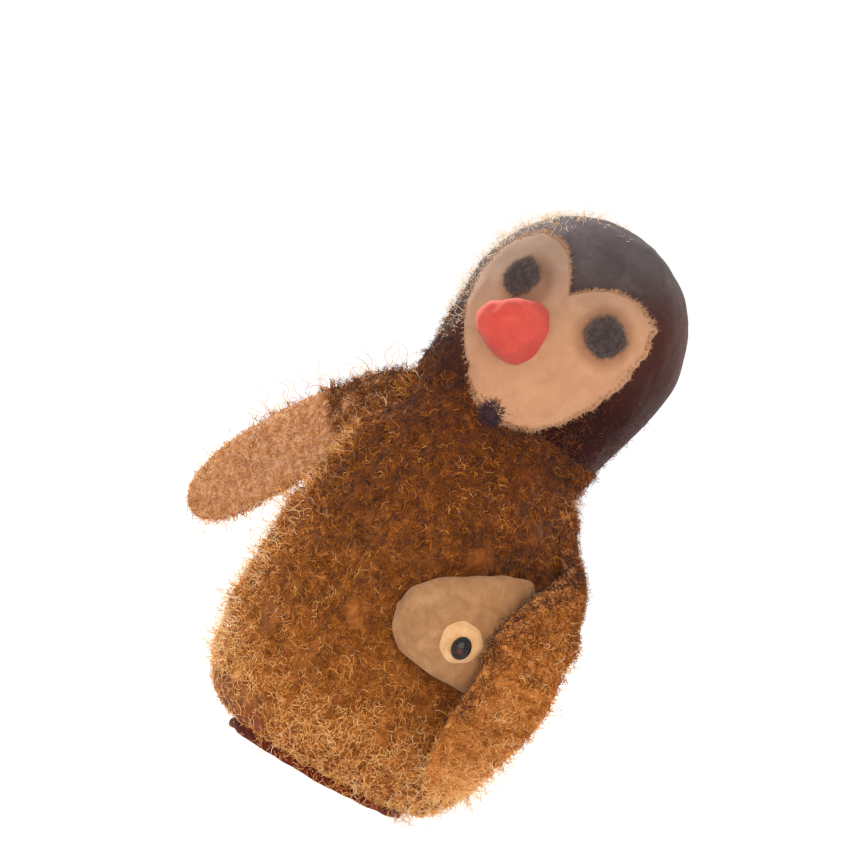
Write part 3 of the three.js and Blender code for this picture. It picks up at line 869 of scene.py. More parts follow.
@dataclass
class Bag:
    """The felted skin from the hem to the crown: body, collar and hood, with the hem's roll."""

    form: Form
    wall: float = 3.0
    hem_thickness: float = 1.9
    hem_inset: float = 2.9
    bore: tuple[tuple[float, float], ...] = ((0.6, 67), (12.4, 67), (12.4, 44), (12.4, 22.5), (24, 22.5),
                                             (36.5, 22.5), (37.6, 18))
    tube: tuple[tuple[float, float], ...] = ((0.4, 64), (9.6, 64), (10, 61), (10, 40), (10, 14.4), (11, 14),
                                             (11.9, 14.5), (11.9, 40), (11.9, 65), (11.4, 66), (0.4, 66))
    around: int = 168

    def build(self) -> None:
        """Makes the skins, split where they pass from one body to the next."""
        form = self.form
        tilt, nod = Seam.TILT.end + form.pivot[2], Seam.NOD.end + form.pivot[2]
        body = form.outline[form.outline[:, 1] < tilt - 0.3]
        body = np.vstack([body, [form.radius(tilt), tilt]])
        self.body = self._shell("body_skin", body, False, Seam.TILT, "body_felt")
        collar = np.stack([form.radius(np.linspace(tilt, nod, 9)), np.linspace(tilt, nod, 9)], axis=1)
        self.collar = self._shell("collar_skin", collar, True, Seam.NOD, "neck_felt")
        self._hood(nod)
        self._hem()
        self._finger_tube()

    def _uneven(self, skin: Skin, amount: float, low: float, high: float) -> Skin:
        """The skin with the shallow lumps of hand felting, which fade out at its low and high edges.

        Args:
            skin: the skin.
            amount: how deep the lumps are.
            low: the height along the neck's line where they start.
            high: the height where they end.

        Returns:
            The uneven skin.
        """
        height = self.form.neck_height(skin.points)
        share = eased((height - low) / 14) * eased((high - height) / 14)
        rise = lumps(skin.points, 26, 11) * amount + lumps(skin.points, 8, 12) * amount * 0.45
        return skin.moved(rise * share)

    def _shell(self, name: str, outline: Array, lower: bool, seam: Seam, node: str) -> Skin:
        """One hollow stretch of the skin.

        Args:
            name: the piece's name.
            outline: half-widths and heights of its outside.
            lower: whether another stretch of skin meets its lower edge.
            seam: the seam at its top.
            node: the CAD node it stands for.

        Returns:
            Its surface.
        """
        form = self.form
        out, inner = offset(outline, form.inset), offset(outline, self.wall)
        inner[0, 1] = max(inner[0, 1], out[0, 1])
        out[-1, 1] = inner[-1, 1] = outline[-1, 1]
        if lower:
            out[0, 1] = inner[0, 1] = outline[0, 1]
        else:
            out = np.vstack([[out[0, 0] + 1.6, 1.8], out])
            inner = np.vstack([[out[0, 0] - 2.0, 1.8], inner])
        profile = np.vstack([out, inner[::-1]])
        skin = outwards(lofted(form.ring(profile[:, 1], profile[:, 0], self.around), ends=False))
        if not lower:
            skin = self._uneven(skin, 1.1, 8 - form.pivot[2], seam.end)
        placed(name, skin, BODY_FELT.material(), seam.bodies, (node,), form.bend(seam))
        return skin

    def _hood(self, start: float) -> None:
        """The hood over the filled head, with the bore that the finger tube sits in.

        Args:
            start: the height that it starts at.
        """
        form = self.form
        outline = form.outline[form.outline[:, 1] > start + 0.3]
        outline = np.vstack([[form.radius(start), start], outline[:-1]])
        out = offset(outline, form.inset)
        out[0, 1] = start
        inside = np.array([(radius, form.pivot[2] + height) for radius, height in self.bore])
        profile = np.vstack([inside, [form.radius(start) - self.wall, start], out])
        rings = form.ring(profile[:, 1], profile[:, 0], self.around)
        self.hood = self._uneven(outwards(lofted(rings)), 0.25, Seam.TURN.end, 200)
        piece = placed("hood_skin", self.hood, HOOD_FELT.material(), Seam.TURN.bodies,
                       ("head_hood", "head_stuffing"), form.bend(Seam.TURN))

    def _hem(self) -> None:
        """The rolled edge round the hand opening."""
        low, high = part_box("hem_band")
        width, half, thick = high.x / MM, (high.z - low.z) / MM / 2, self.hem_thickness
        turn = circle(20)
        section = np.stack([width - thick - self.hem_inset + thick * np.cos(turn),
                            half + half * np.sin(turn)], axis=1)
        skin = outwards(lofted(self.form.ring(section[:, 1], section[:, 0], self.around), ends=False))
        skin = skin.moved(lumps(skin.points, 13, 21) * 0.25 - 0.25)
        skin.points[:, 2] = np.maximum(skin.points[:, 2], 0.0)
        placed("hem_roll", skin, HEM_FELT.material(), ("torso",), ("hem_band",))

    def _finger_tube(self) -> None:
        """The felt tube for a finger, closed at its top."""
        points = np.array([(radius, self.form.pivot[2] + height) for radius, height in self.tube])
        skin = outwards(lofted(self.form.ring(points[:, 1], points[:, 0], 40)))
        placed("finger_tube_felt", skin, TUBE_FELT.material(), ("tube",), ("finger_tube",))


# ---- face


@dataclass
class Face:
    """The heart-shaped face with its eyes, beak and the tuft under the chin."""

    form: Form
    shift: tuple[float, float] = (2.0, -2.8)
    half_width: float = 37.0
    peak: float = 10.5
    lobe: float = 25.0
    right_lobe_rise: float = 2.5
    lobe_offset: float = 21.0
    chin: float = 44.0
    chin_lean: float = 3.0
    sideways: float = 2.5
    chin_half_width: float = 16.0
    mask_rise: float = 0.9
    eye_offset: float = 20.5
    eye_height: float = 6.4
    eye_radius: float = 7.6
    eye_rise: float = 0.5
    beak_radius: float = 12.0
    beak_length: float = 23.0
    beak_drop: float = 14.5
    beak_offset: float = -6.5
    beak_yaw: float = math.radians(-13)
    beak_pitch: float = math.radians(6)
    beak_ridge: float = math.radians(-53)
    tuft_offset: float = 4.4
    tuft_height: float = 8.2
    tuft_radius: float = 4.2

    def build(self) -> None:
        """Makes the mask, eyes, beak and tuft, all on the head."""
        self._mask()
        for side, node in ((-1, "eye_right"), (1, "eye_left")):
            self._eye(side, node)
        self._beak()
        self._tuft()
        self._edge_wool()

    def outline(self, side: int) -> Array:
        """One half of the mask's edge, from the peak down to the chin, as across and up.

        Args:
            side: 1 for the puppet's left half, -1 for its right.

        Returns:
            Its points, without the chin.
        """
        w, low, tip = side * self.half_width - self.sideways, -self.chin, self.chin_lean
        top = self.lobe + (self.right_lobe_rise if side < 0 else 0)
        parts = [
            ((0, self.peak), (side * 4, self.peak + 7), (side * 11, top), (side * self.lobe_offset, top)),
            ((side * self.lobe_offset, top), (side * 32, top), (w, 16), (w, 2)),
            ((w, 2), (w, -14), (side * 28, -27), (tip + side * self.chin_half_width, 6 + low)),
            ((tip + side * self.chin_half_width, 6 + low), (tip + side * 10, low + 1), (tip + side * 5, low),
             (tip, low)),
        ]
        return np.vstack([bezier(*part, 22)[:-1] for part in parts])

    def edge(self) -> Array:
        """The mask's whole edge, round once."""
        left, right = self.outline(1), self.outline(-1)
        return np.vstack([left, [[self.chin_lean, -self.chin]], right[:0:-1]]) + self.shift

    def _pad(self, edge: Array, centre: Array, rise: Callable[[Array], Array], rings: int = 14) -> Skin:
        """A soft pad on the front of the head.

        Args:
            edge: its outline, as across and up.
            centre: the point that its rings shrink to.
            rise: how far off the hood it stands, for 0 at the centre to 1 at the edge.
            rings: how many rings.

        Returns:
            Its surface, in the row frame.
        """
        form = self.form
        shares = np.linspace(0.03, 1, rings)
        flat = centre + shares[:, None, None] * (edge - centre)
        outer = form.head_front(flat[..., 0], flat[..., 1], rise(shares)[:, None])
        under = form.head_front(flat[..., 0], flat[..., 1], -2.6)
        rings_ = np.concatenate([outer, under[::-1]])
        skin = outwards(lofted(rings_))
        return Skin(form.from_head(skin.points), skin.faces)

    def _finish(self, name: str, skin: Skin, felt: Felt, node: str) -> Piece:
        """A piece on the head that stands for a CAD node."""
        return placed(name, skin, felt.material(), ("head",), (node,))

    def _mask(self) -> None:
        """The cream face, needled into the hood so that its edge sinks in."""
        edge = self.edge()
        place = np.column_stack([edge, 0 * edge[:, 0]])
        ragged = 1 + 0.012 * lumps(place, 5, 31) + 0.008 * lumps(place, 2.2, 32)
        middle = self.middle()
        self.mask_edge = edge = middle + (edge - middle) * ragged[:, None]
        mask = self._pad(edge, middle, lambda share: mix(self.mask_rise, 0.05, eased((share - 0.93) / 0.07)), 34)
        mask = mask.moved(lumps(mask.points, 11, 33) * 0.16)
        self._finish("face_felt", mask, MASK_FELT, "face_mask")

    def middle(self) -> Array:
        """The middle of the mask, which its wool is combed away from."""
        return np.array([0, -6.0]) + self.shift

    def _eye(self, side: int, node: str) -> None:
        """An uneven dark patch, needled into the mask.

        Args:
            side: 1 for the puppet's left eye, -1 for its right.
            node: the CAD node it stands for.
        """
        reach = np.array([1, 0.92, 1.06, 0.94, 1, 0.95, 1.03, 0.93])
        turn, count = circle(64), len(reach)
        corner = (turn / (2 * math.pi) * count - 0.5) % count
        low = np.floor(corner).astype(int)
        share, half = corner - low, math.pi / count
        straight = math.cos(half) / np.cos((share - 0.5) * 2 * half)
        radius = mix(reach[low % count], reach[(low + 1) % count], share) * mix(straight, 1, 0.35)
        wide = 0.95 if side < 0 else 1.0
        centre = np.array([side * self.eye_offset, self.eye_height]) + self.shift
        edge = centre + self.eye_radius * radius[:, None] * np.stack([wide * np.cos(turn), np.sin(turn)], axis=1)
        low_, high = self.mask_rise + 0.05, self.mask_rise + self.eye_rise
        skin = self._pad(edge, centre, lambda share: mix(high, low_, eased((share - 0.75) / 0.25)))
        self._finish(f"{node}_felt", skin, EYE_FELT, node)
        rng = np.random.default_rng(34 + side)
        self._fringe(f"{node}_fringe", edge, centre, high - 0.2, (-1.8, 0.0), 620, (1.0, 2.2), Wool.SMOKE, rng)

    def _fringe(self, name: str, edge: Array, centre: Array, rise: float, spread: tuple[float, float], count: int,
                length: tuple[float, float], wool: Wool, rng: Rng) -> None:
        """Short wool that crosses a pad's edge and softens it.

        Args:
            name: the piece's name.
            edge: the pad's outline.
            centre: the point the wool is combed away from.
            rise: how far off the hood it lies.
            spread: how far inside and outside the edge it starts, in millimetres.
            count: how many fibres.
            length: the shortest and the longest.
            wool: what it is made of.
            rng: the seeded source of chance.
        """
        form = self.form
        chosen = rng.integers(0, len(edge), count)
        away = unit(edge[chosen] - centre)
        start = edge[chosen] + away * rng.uniform(*spread, (count, 1))
        turned = rng.normal(0, 0.75, count)
        cosine, sine = np.cos(turned), np.sin(turned)
        heading = np.stack([away[:, 0] * cosine - away[:, 1] * sine,
                            away[:, 0] * sine + away[:, 1] * cosine], axis=1)
        reach = np.linspace(0, 1, 5)[None, :, None] * rng.uniform(*length, (count, 1, 1))
        flat = start[:, None] + heading[:, None] * reach + rng.normal(0, 0.12, (count, 5, 2))
        lift = rise + rng.uniform(0, 0.35, (count, 1))
        lines = form.head_front(flat[..., 0], flat[..., 1], lift).reshape(-1, 3)
        lines = form.from_head(lines).reshape(count, 5, 3)
        placed(name, Pile((1, 1), 0.16, rings=5).tubes(lines), wool.material(), ("head",))

    def _edge_wool(self) -> None:
        """Cream wool needled across the mask's border."""
        self._fringe("mask_fringe", self.mask_edge, self.middle(), 0.45, (-1.4, -0.1), 1900, (0.8, 2.0), Wool.FLAX,
                     np.random.default_rng(35))

    def _beak(self) -> None:
        """The stuffed red beak."""
        form, length, wide = self.form, self.beak_length, self.beak_radius
        along = np.concatenate([np.linspace(-4, 8, 7), 8 + (length - 8) * np.sin(np.linspace(0.1, 1.5, 18))])
        profile = bezier((wide, 0), (wide, length * 0.55), (wide * 0.62, length), (0, length), 60)
        radius = np.interp(along, profile[:, 1], profile[:, 0], left=wide)[:, None]
        turn = circle(56)
        low_side = turn - self.beak_ridge
        shape = 1.1 + 0.1 * np.cos(3 * low_side) - 0.05 * np.cos(2 * low_side)
        across, up = radius * shape * np.cos(turn), radius * shape * np.sin(turn)
        skin = outwards(lofted(np.stack([across, -along[:, None] + 0 * across, up], axis=-1)))
        matrix = (Matrix.Translation((self.beak_offset, -form.head_radius * form.round_flatness + 2,
                                      form.head_centre - self.beak_drop))
                  @ Matrix.Rotation(self.beak_yaw, 4, "Z") @ Matrix.Rotation(self.beak_pitch, 4, "X"))
        points = form.from_head(carried(skin.points, matrix))
        beak = Skin(points, skin.faces).moved(lumps(points, 9, 41) * 0.3 - 0.3)
        self._finish("beak_felt", beak, BEAK_FELT, "beak")

    def _tuft(self) -> None:
        """The dark tuft of wool under the chin."""
        turn = circle(40)
        centre = np.array([self.tuft_offset, self.tuft_height - self.form.head_centre])
        edge = np.stack([centre[0] + self.tuft_radius * np.cos(turn), centre[1] + self.tuft_radius * np.sin(turn)],
                        axis=1)
        skin = self._pad(edge, centre, lambda share: mix(1.5, 0.2, share**2))
        self._finish("chin_tuft_wool", skin, TUFT_FELT, "chin_tuft")
        rng = np.random.default_rng(36)
        self._fringe("chin_tuft_fringe", edge, centre, 0.9, (-3.4, 0.3), 420, (1.2, 3.2), Wool.SLOE, rng)


# ---- wings


@dataclass
class Wing:
    """A flipper of two felt layers, sewn at its root."""

    name: str
    form: Form
    half_width: float = 16.0
    root_half_width: float = 5.0
    shoulder_half_width: float = 10.0
    thickness: float = 8.0
    length: float = 112.0
    thread: float = 0.9
    seam_stations: tuple[int, int] = (10, 13)
    stations: int = 64
    around: int = 48

    def widths(self, share: Array) -> Array:
        """Half the wing's width along it.

        Args:
            share: how far along, from 0 to 1.

        Returns:
            Half-widths, in millimetres.
        """
        flare = mix(self.shoulder_half_width, self.half_width, eased(share / 0.5))
        tip = np.sqrt(np.maximum(1 - (np.maximum(share - 0.7, 0) / 0.3) ** 2, 0))
        return flare * tip * np.sqrt(np.minimum(share / 0.05, 1))

    def bulges(self, share: Array) -> Array:
        """How far one layer bulges along the wing."""
        tip = np.sqrt(np.maximum(1 - (np.maximum(share - 0.86, 0) / 0.14) ** 2, 0))
        return (self.thickness - 0.3) / 2 * tip * np.sqrt(np.minimum(share / 0.05, 1))

    def layer(self, line: Array, facing: Array, side: int) -> Skin:
        """One felt layer, flat where it meets the other and rounded outside.

        Args:
            line: the wing's middle line, a point for each station.
            facing: its outer direction there.
            side: 1 for the outer layer, -1 for the inner.

        Returns:
            The layer's surface.
        """
        share = spaced(0.12, 0.04, len(line))
        outward, across = self.directions(line, facing)
        turn = circle(self.around)
        wide = np.cos(turn)[None] * self.widths(share)[:, None]
        bulge = np.maximum(np.sin(turn), 0)[None] ** 0.8 * self.bulges(share)[:, None] + 0.08
        rings = line[:, None] + across[:, None] * wide[..., None] + side * outward[:, None] * bulge[..., None]
        return outwards(lofted(rings))

    def directions(self, line: Array, facing: Array) -> tuple[Array, Array]:
        """The ways outward and across at each station of a middle line.

        Args:
            line: the wing's middle line.
            facing: its outer direction at each station.

        Returns:
            The outward and the across directions.
        """
        ahead = unit(np.gradient(line, axis=0))
        outward = unit(facing - dots(facing, ahead) * ahead)
        return outward, np.cross(outward, ahead)

    def dressed(self, body: str, root: str) -> None:
        """Makes both layers and the stitches.

        Args:
            body: the body that the wing would move with; not used.
            root: the body that its root stays with.
        """
        line = self.line
        ends = tuple(line[0] * MM), tuple((line[0] + unit(line[9] - line[0]) * 14) * MM)
        self.layers = {}
        for side, felt, part, slot in ((1, WING_FELT, "outer", "brown_felt"), (-1, PALM_FELT, "inner", "tan_felt")):
            skin = self.layer(line, self.facing, side)
            skin = skin.moved(lumps(skin.points, 12, 51 + side) * 0.22 - 0.2)
            self.layers[part] = skin
            piece = placed(f"{self.name}_{part}_felt", skin, felt.material(), (root, body),
                           (f"{self.name}_{part}",), ends)
        self._stitches(root)

    def _stitches(self, root: str) -> None:
        """The thread that sews the wing to the body, as short stitches across its root.

        Args:
            root: the body that the wing's root stays with.
        """
        line = self.line
        outward, across = self.directions(line, self.facing)
        low, high = self.seam_stations
        stitches = []
        for share in np.linspace(-0.7, 0.7, 5):
            side = share * self.shoulder_half_width
            rise = (self.thickness / 2) * math.sqrt(1 - share**2)
            first = line[low] + across[low] * side + outward[low] * (rise - 1.5)
            last = line[high] + across[high] * side + outward[high] * (rise - 1.0)
            top = outward[low] * 2.4
            stitches.append(bezier(first, first + top, last + top, last, 9))
        skin = Pile((1, 1), self.thread, rings=9).tubes(np.array(stitches))
        placed(f"{self.name}_thread", skin, THREAD.material(), (root,), (f"{self.name}_stitches",))


@dataclass
class RightWing(Wing):
    """The wing that is held out."""

    spread: float = math.radians(32)
    sweep: float = math.radians(42)
    twist: float = math.radians(28)
    sunk: tuple[Point, ...] = ((-33.0, 0.0, 153.0), (-45.0, 2.0, 145.5), (-56.0, 7.0, 132.0))

    def build(self) -> None:
        """Places the wing along a straight line from its armhole."""
        root, ahead = self._start()
        share = spaced(0.12, 0.04, self.stations)
        along = [root + ahead * reach for reach in (34.0, 60.0, 86.0, self.length - 4.0)]
        self.line = through(np.array([*self.sunk, *along]), share)
        back = np.array([0.0, 1.0, 0.0])
        outer = unit(back - (back @ ahead) * ahead)
        turn = np.array(Matrix.Rotation(self.twist, 3, Vector(ahead)))
        self.facing = np.repeat((turn @ outer)[None], len(share), axis=0)
        self.dressed("wing_right", "wing_right_root")

    def _start(self) -> tuple[Array, Array]:
        """Where the wing starts and the way it points.

        Returns:
            The root and the direction.
        """
        pivot = joint_place("wing_right_raise")
        down = np.array([-math.sin(self.spread), 0, -math.cos(self.spread)])
        ahead = down * math.cos(self.sweep) + np.array([0, 1, 0]) * math.sin(self.sweep)
        return pivot - ahead * (self.root_half_width - 1), ahead


@dataclass
class LeftWing(Wing):
    """The wing that is folded down over the fish."""

    tip_height: float = 17.0
    lift: float = math.radians(16)
    over: float = math.radians(43.9)
    over_fish: float = 21.4
    flat: float = 4.9
    fish_top: float = 109.0
    fish_bottom: float = 59.0
    sunk: tuple[Point, ...] = ((34.0, 0.0, 145.0), (42.0, -5.0, 129.0))

    def build(self) -> None:
        """Places the wing down the side, round over the fish and down the front of the belly."""
        form = self.form
        fish_top, fish_bottom = self.fish_top, self.fish_bottom
        stops = [(25, fish_top + 4, self.flat - 1.5), (6, fish_top - 7, mix(self.flat, self.over_fish, 0.65)),
                 (-5, (fish_top + fish_bottom) / 2, self.over_fish), (-4, fish_bottom + 8, self.over_fish),
                 (-1, mix(self.tip_height, fish_bottom, 0.65), mix(self.flat, self.over_fish, 0.35)),
                 (3, self.tip_height, self.flat)]
        points = [*self.sunk] + [form.beside(self.over + math.radians(a), h, np.array(o)) for a, h, o in stops]
        share = spaced(0.12, 0.04, self.stations)
        self.line = through(np.array(points), share)
        angle = np.arctan2(self.line[:, 0], -self.line[:, 1] / form.flatness(self.line[:, 2]))
        self.facing = form.normal(angle - self.lift, self.line[:, 2])
        self.dressed("wing_left", "wing_left_root")


def joint_place(name: str) -> Array:
    """Where a joint turns, in millimetres."""
    return np.array(next(j["pos_m"] for j in frame["joints"] if j["name"] == name), float) / MM


def through(points: Array, share: Array) -> Array:
    """A smooth line through points.

    Args:
        points: what it passes through.
        share: how far along it each place is wanted, 0 to 1 of its length.

    Returns:
        The places on it.
    """
    padded = np.vstack([2 * points[0] - points[1], points, 2 * points[-1] - points[-2]])
    fine = []
    for k in range(len(points) - 1):
        p0, p1, p2, p3 = padded[k:k + 4]
        gaps = [max(np.linalg.norm(b - a), 1e-6) ** 0.5 for a, b in ((p0, p1), (p1, p2), (p2, p3))]
        first = (p1 - p0) / gaps[0] - (p2 - p0) / (gaps[0] + gaps[1]) + (p2 - p1) / gaps[1]
        second = (p2 - p1) / gaps[1] - (p3 - p1) / (gaps[1] + gaps[2]) + (p3 - p2) / gaps[2]
        fine.append(bezier(p1, p1 + first * gaps[1] / 3, p2 - second * gaps[1] / 3, p2, 60)[:-1])
    line = np.vstack([*fine, points[-1:]])
    length = np.concatenate([[0], np.cumsum(np.linalg.norm(np.diff(line, axis=0), axis=1))])
    return np.stack([np.interp(share * length[-1], length, line[:, k]) for k in range(3)], axis=1)


# ---- fish


@dataclass
class Fish:
    """The stuffed fish, held under the left wing."""

    form: Form
    half_height: float = 25.0
    snout_half_height: float = 14.0
    half_thickness: float = 8.5
    gap: float = 0.9
    snout_angle: float = math.radians(-4)
    end_angle: float = math.radians(58)
    snout_height: float = 77.0
    end_height: float = 84.0
    tail_length: float = 15.0
    tail_half_height: float = 13.0
    tail_thickness: float = 3.4
    eye_place: float = 0.37
    eye_drop: float = 5.5
    eye_radius: float = 8.7
    bead_half: Point = (3.9, 4.6, 2.5)
    bead_rise: float = 2.6

    def half_heights(self, share: Array) -> Array:
        """Half the fish's height along it.

        Args:
            share: how far along, from 0 to 1.

        Returns:
            Half-heights, in millimetres.
        """
        head = mix(self.snout_half_height, self.half_height, eased(share / 0.56) ** 0.8)
        tail = np.where(share > 0.6, mix(1, 0.34, eased((share - 0.6) / 0.36)), 1)
        snout = np.sqrt(1 - (1 - np.minimum(share / 0.17, 1)) ** 2)
        return head * tail * snout * np.sqrt(np.minimum((1 - share) / 0.03, 1))

    def half_thicknesses(self, share: Array) -> Array:
        """Half the fish's thickness along it.

        Args:
            share: how far along, from 0 to 1.

        Returns:
            Half-thicknesses, in millimetres.
        """
        head = mix(0.45, 1, eased(share / 0.34))
        tail = mix(1, 0.3, eased((share - 0.45) / 0.4))
        ends = np.sqrt(np.minimum(np.minimum(share / 0.05, (1 - share) / 0.03), 1))
        return self.half_thickness * head * tail * ends

    def place(self, share: Array) -> tuple[Array, Array]:
        """The angle round the body and the height of the fish's middle line."""
        height = mix(self.snout_height, self.end_height, eased(share / 0.6))
        return mix(self.snout_angle, self.end_angle, share), height

    def build(self) -> None:
        """Makes the fish, its tail, eye disc and bead."""
        self._body()
        self._tail()
        self._eye()

    def _loft(self, share: Array, half_height: Array, half_thickness: Array, around: int) -> Skin:
        """A stuffed shape lying on the body's skin.

        Args:
            share: how far along, from 0 to 1.
            half_height: half its height along it.
            half_thickness: half its thickness along it.
            around: how many points in a ring.

        Returns:
            Its surface.
        """
        angle, height = self.place(share)
        turn = circle(around)
        centre = self.form.beside(angle, height, half_thickness + self.gap)
        facing = self.form.normal(angle, height)
        up = np.array([0, 0, 1.0]) * (np.cos(turn)[None] * half_height[:, None])[..., None]
        out = facing[:, None] * (np.sin(turn)[None] * half_thickness[:, None])[..., None]
        return outwards(lofted(centre[:, None] + up + out))

    def _body(self) -> None:
        """The fish's one-piece felt."""
        share = spaced(0.04, 0.04, 64)
        skin = self._loft(share, self.half_heights(share), self.half_thicknesses(share), 72)
        self.skin = skin.moved(lumps(skin.points, 14, 61) * 0.3 - 0.3)
        piece = placed("fish_felt", self.skin, FISH_FELT.material(), ("wing_left",),
                       ("fish_back", "fish_belly"))

    def _tail(self) -> None:
        """The flat tail, hidden by the wing."""
        along = spaced(0.1, 0.1, 24)
        length = self.tail_length / (self.form.body_radius * (self.end_angle - self.snout_angle))
        spread = self.tail_half_height * mix(0.45, 1, along) * np.sqrt(1 - (2 * along - 1) ** 4)
        thick = np.maximum(self.tail_thickness / 2 * np.sin(np.linspace(0.1, math.pi - 0.1, 24)), 0.1)
        skin = self._loft(1.03 + along * length, np.maximum(spread, 0.3), thick, 40)
        placed("fish_tail_felt", skin, FISH_FELT.material(), ("wing_left",), ("fish_tail",))

    def _eye(self) -> None:
        """The cream disc, and the black bead sewn on it."""
        angle, height = self.place(np.array(self.eye_place))
        thick = float(self.half_thicknesses(np.array(self.eye_place)))
        centre = self.form.beside(angle, height - self.eye_drop, np.array(thick * 2 + self.gap))
        out = self.form.normal(angle, height)
        right = unit(np.cross(np.array([0, 0, 1.0]), out))
        up = np.cross(out, right)
        tree = BVHTree.FromPolygons([Vector(p) for p in self.skin.points], self.skin.triangles().tolist())
        turn = circle(64)
        uneven = 1 + 0.03 * np.sin(turn * 3 + 1) + 0.02 * np.sin(turn * 7)
        rings = []
        for share in np.linspace(0.05, 1, 12):
            flat = centre + (right * np.cos(turn)[:, None] + up * np.sin(turn)[:, None]) \
                * (self.eye_radius * share * uneven)[:, None]
            rise = mix(1.5, -0.2, float(eased((share - 0.72) / 0.28)))
            rings.append([self._onto(tree, point, out) + out * rise for point in flat])
        under = [[point - out * 1.2 for point in rings[-1]], [point - out * 3.0 for point in rings[0]]]
        disc = outwards(lofted(np.array(rings + under)))
        placed("fish_eye_felt", disc, RING_FELT.material(), ("wing_left",), ("fish_eye_disc",))
        self._bead(tree, right, up, out)

    def _onto(self, tree: BVHTree, point: Array, out: Array) -> Array:
        """The point dropped onto the fish's felt."""
        hit = tree.ray_cast(Vector(point + out * 20), Vector(-out))[0]
        return np.array(hit) if hit else point

    def _bead(self, tree: BVHTree, right: Array, up: Array, out: Array) -> None:
        """The shiny bead, a little taller than it is wide.

        Args:
            tree: the fish's felt, as a search tree.
            right: the disc's own right.
            up: the disc's own up.
            out: the way off the felt.
        """
        low, high = (np.array(corner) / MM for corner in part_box("fish_eye_bead"))
        centre = self._onto(tree, (low + high) / 2, out) + out * self.bead_rise
        polar = np.linspace(0.06, math.pi - 0.06, 28)[:, None, None]
        turn = circle(48)[:, None]
        wide, tall, deep = self.bead_half
        level = right * np.cos(turn) * wide + up * np.sin(turn) * tall
        skin = outwards(lofted(centre + (np.sin(polar) * level + np.cos(polar) * out * deep)))
        placed("fish_eye_bead_glass", skin, EYE_GLASS.material(), ("wing_left",), ("fish_eye_bead",))


# ---- coat


BODY_CURLS = Pile((2.6, 5.2), 0.3, (0.72, 0.97), (0.5, 1.1), (0.5, 1.5))
BODY_FUZZ = Pile((4, 7.5), 0.17, (0.05, 0.6), (0.5, 1.5), (0.4, 1.4), 7)
HOOD_CURLS = Pile((2, 4), 0.22, (0.6, 0.95), (0.3, 0.9), (0.4, 1.2))
HOOD_FUZZ = Pile((2.2, 5.0), 0.17, (0.3, 0.8), (0.4, 1.1), (0.5, 1.4))
HOOD_STRAYS = Pile((4, 10), 0.2, (0.2, 0.7), (0.8, 2.4), (0.5, 1.6), 12)
WING_CURLS = Pile((3, 5.5), 0.28, (0.55, 0.9), (0.5, 1.1), (0.5, 1.5))
WING_PILE = Pile((0.9, 1.8), 0.18, (0.4, 0.85), (0.2, 0.5), (0.3, 1.0), 4)
WING_FUZZ = Pile((3, 7), 0.16, (0.1, 0.6), (0.5, 1.4), (0.4, 1.4), 7)
STRAYS = Pile((7, 15), 0.26, (0.1, 0.65), (0.8, 2.6), (0.5, 1.6), 12)
HEM_STRAYS = Pile((5, 12), 0.22, (0.1, 0.65), (0.8, 2.6), (0.5, 1.6), 12, (0.2, 0, -0.5))
STRAY_SHADES = (3.0, 7.2)
COLLAR_TOP = 12.5


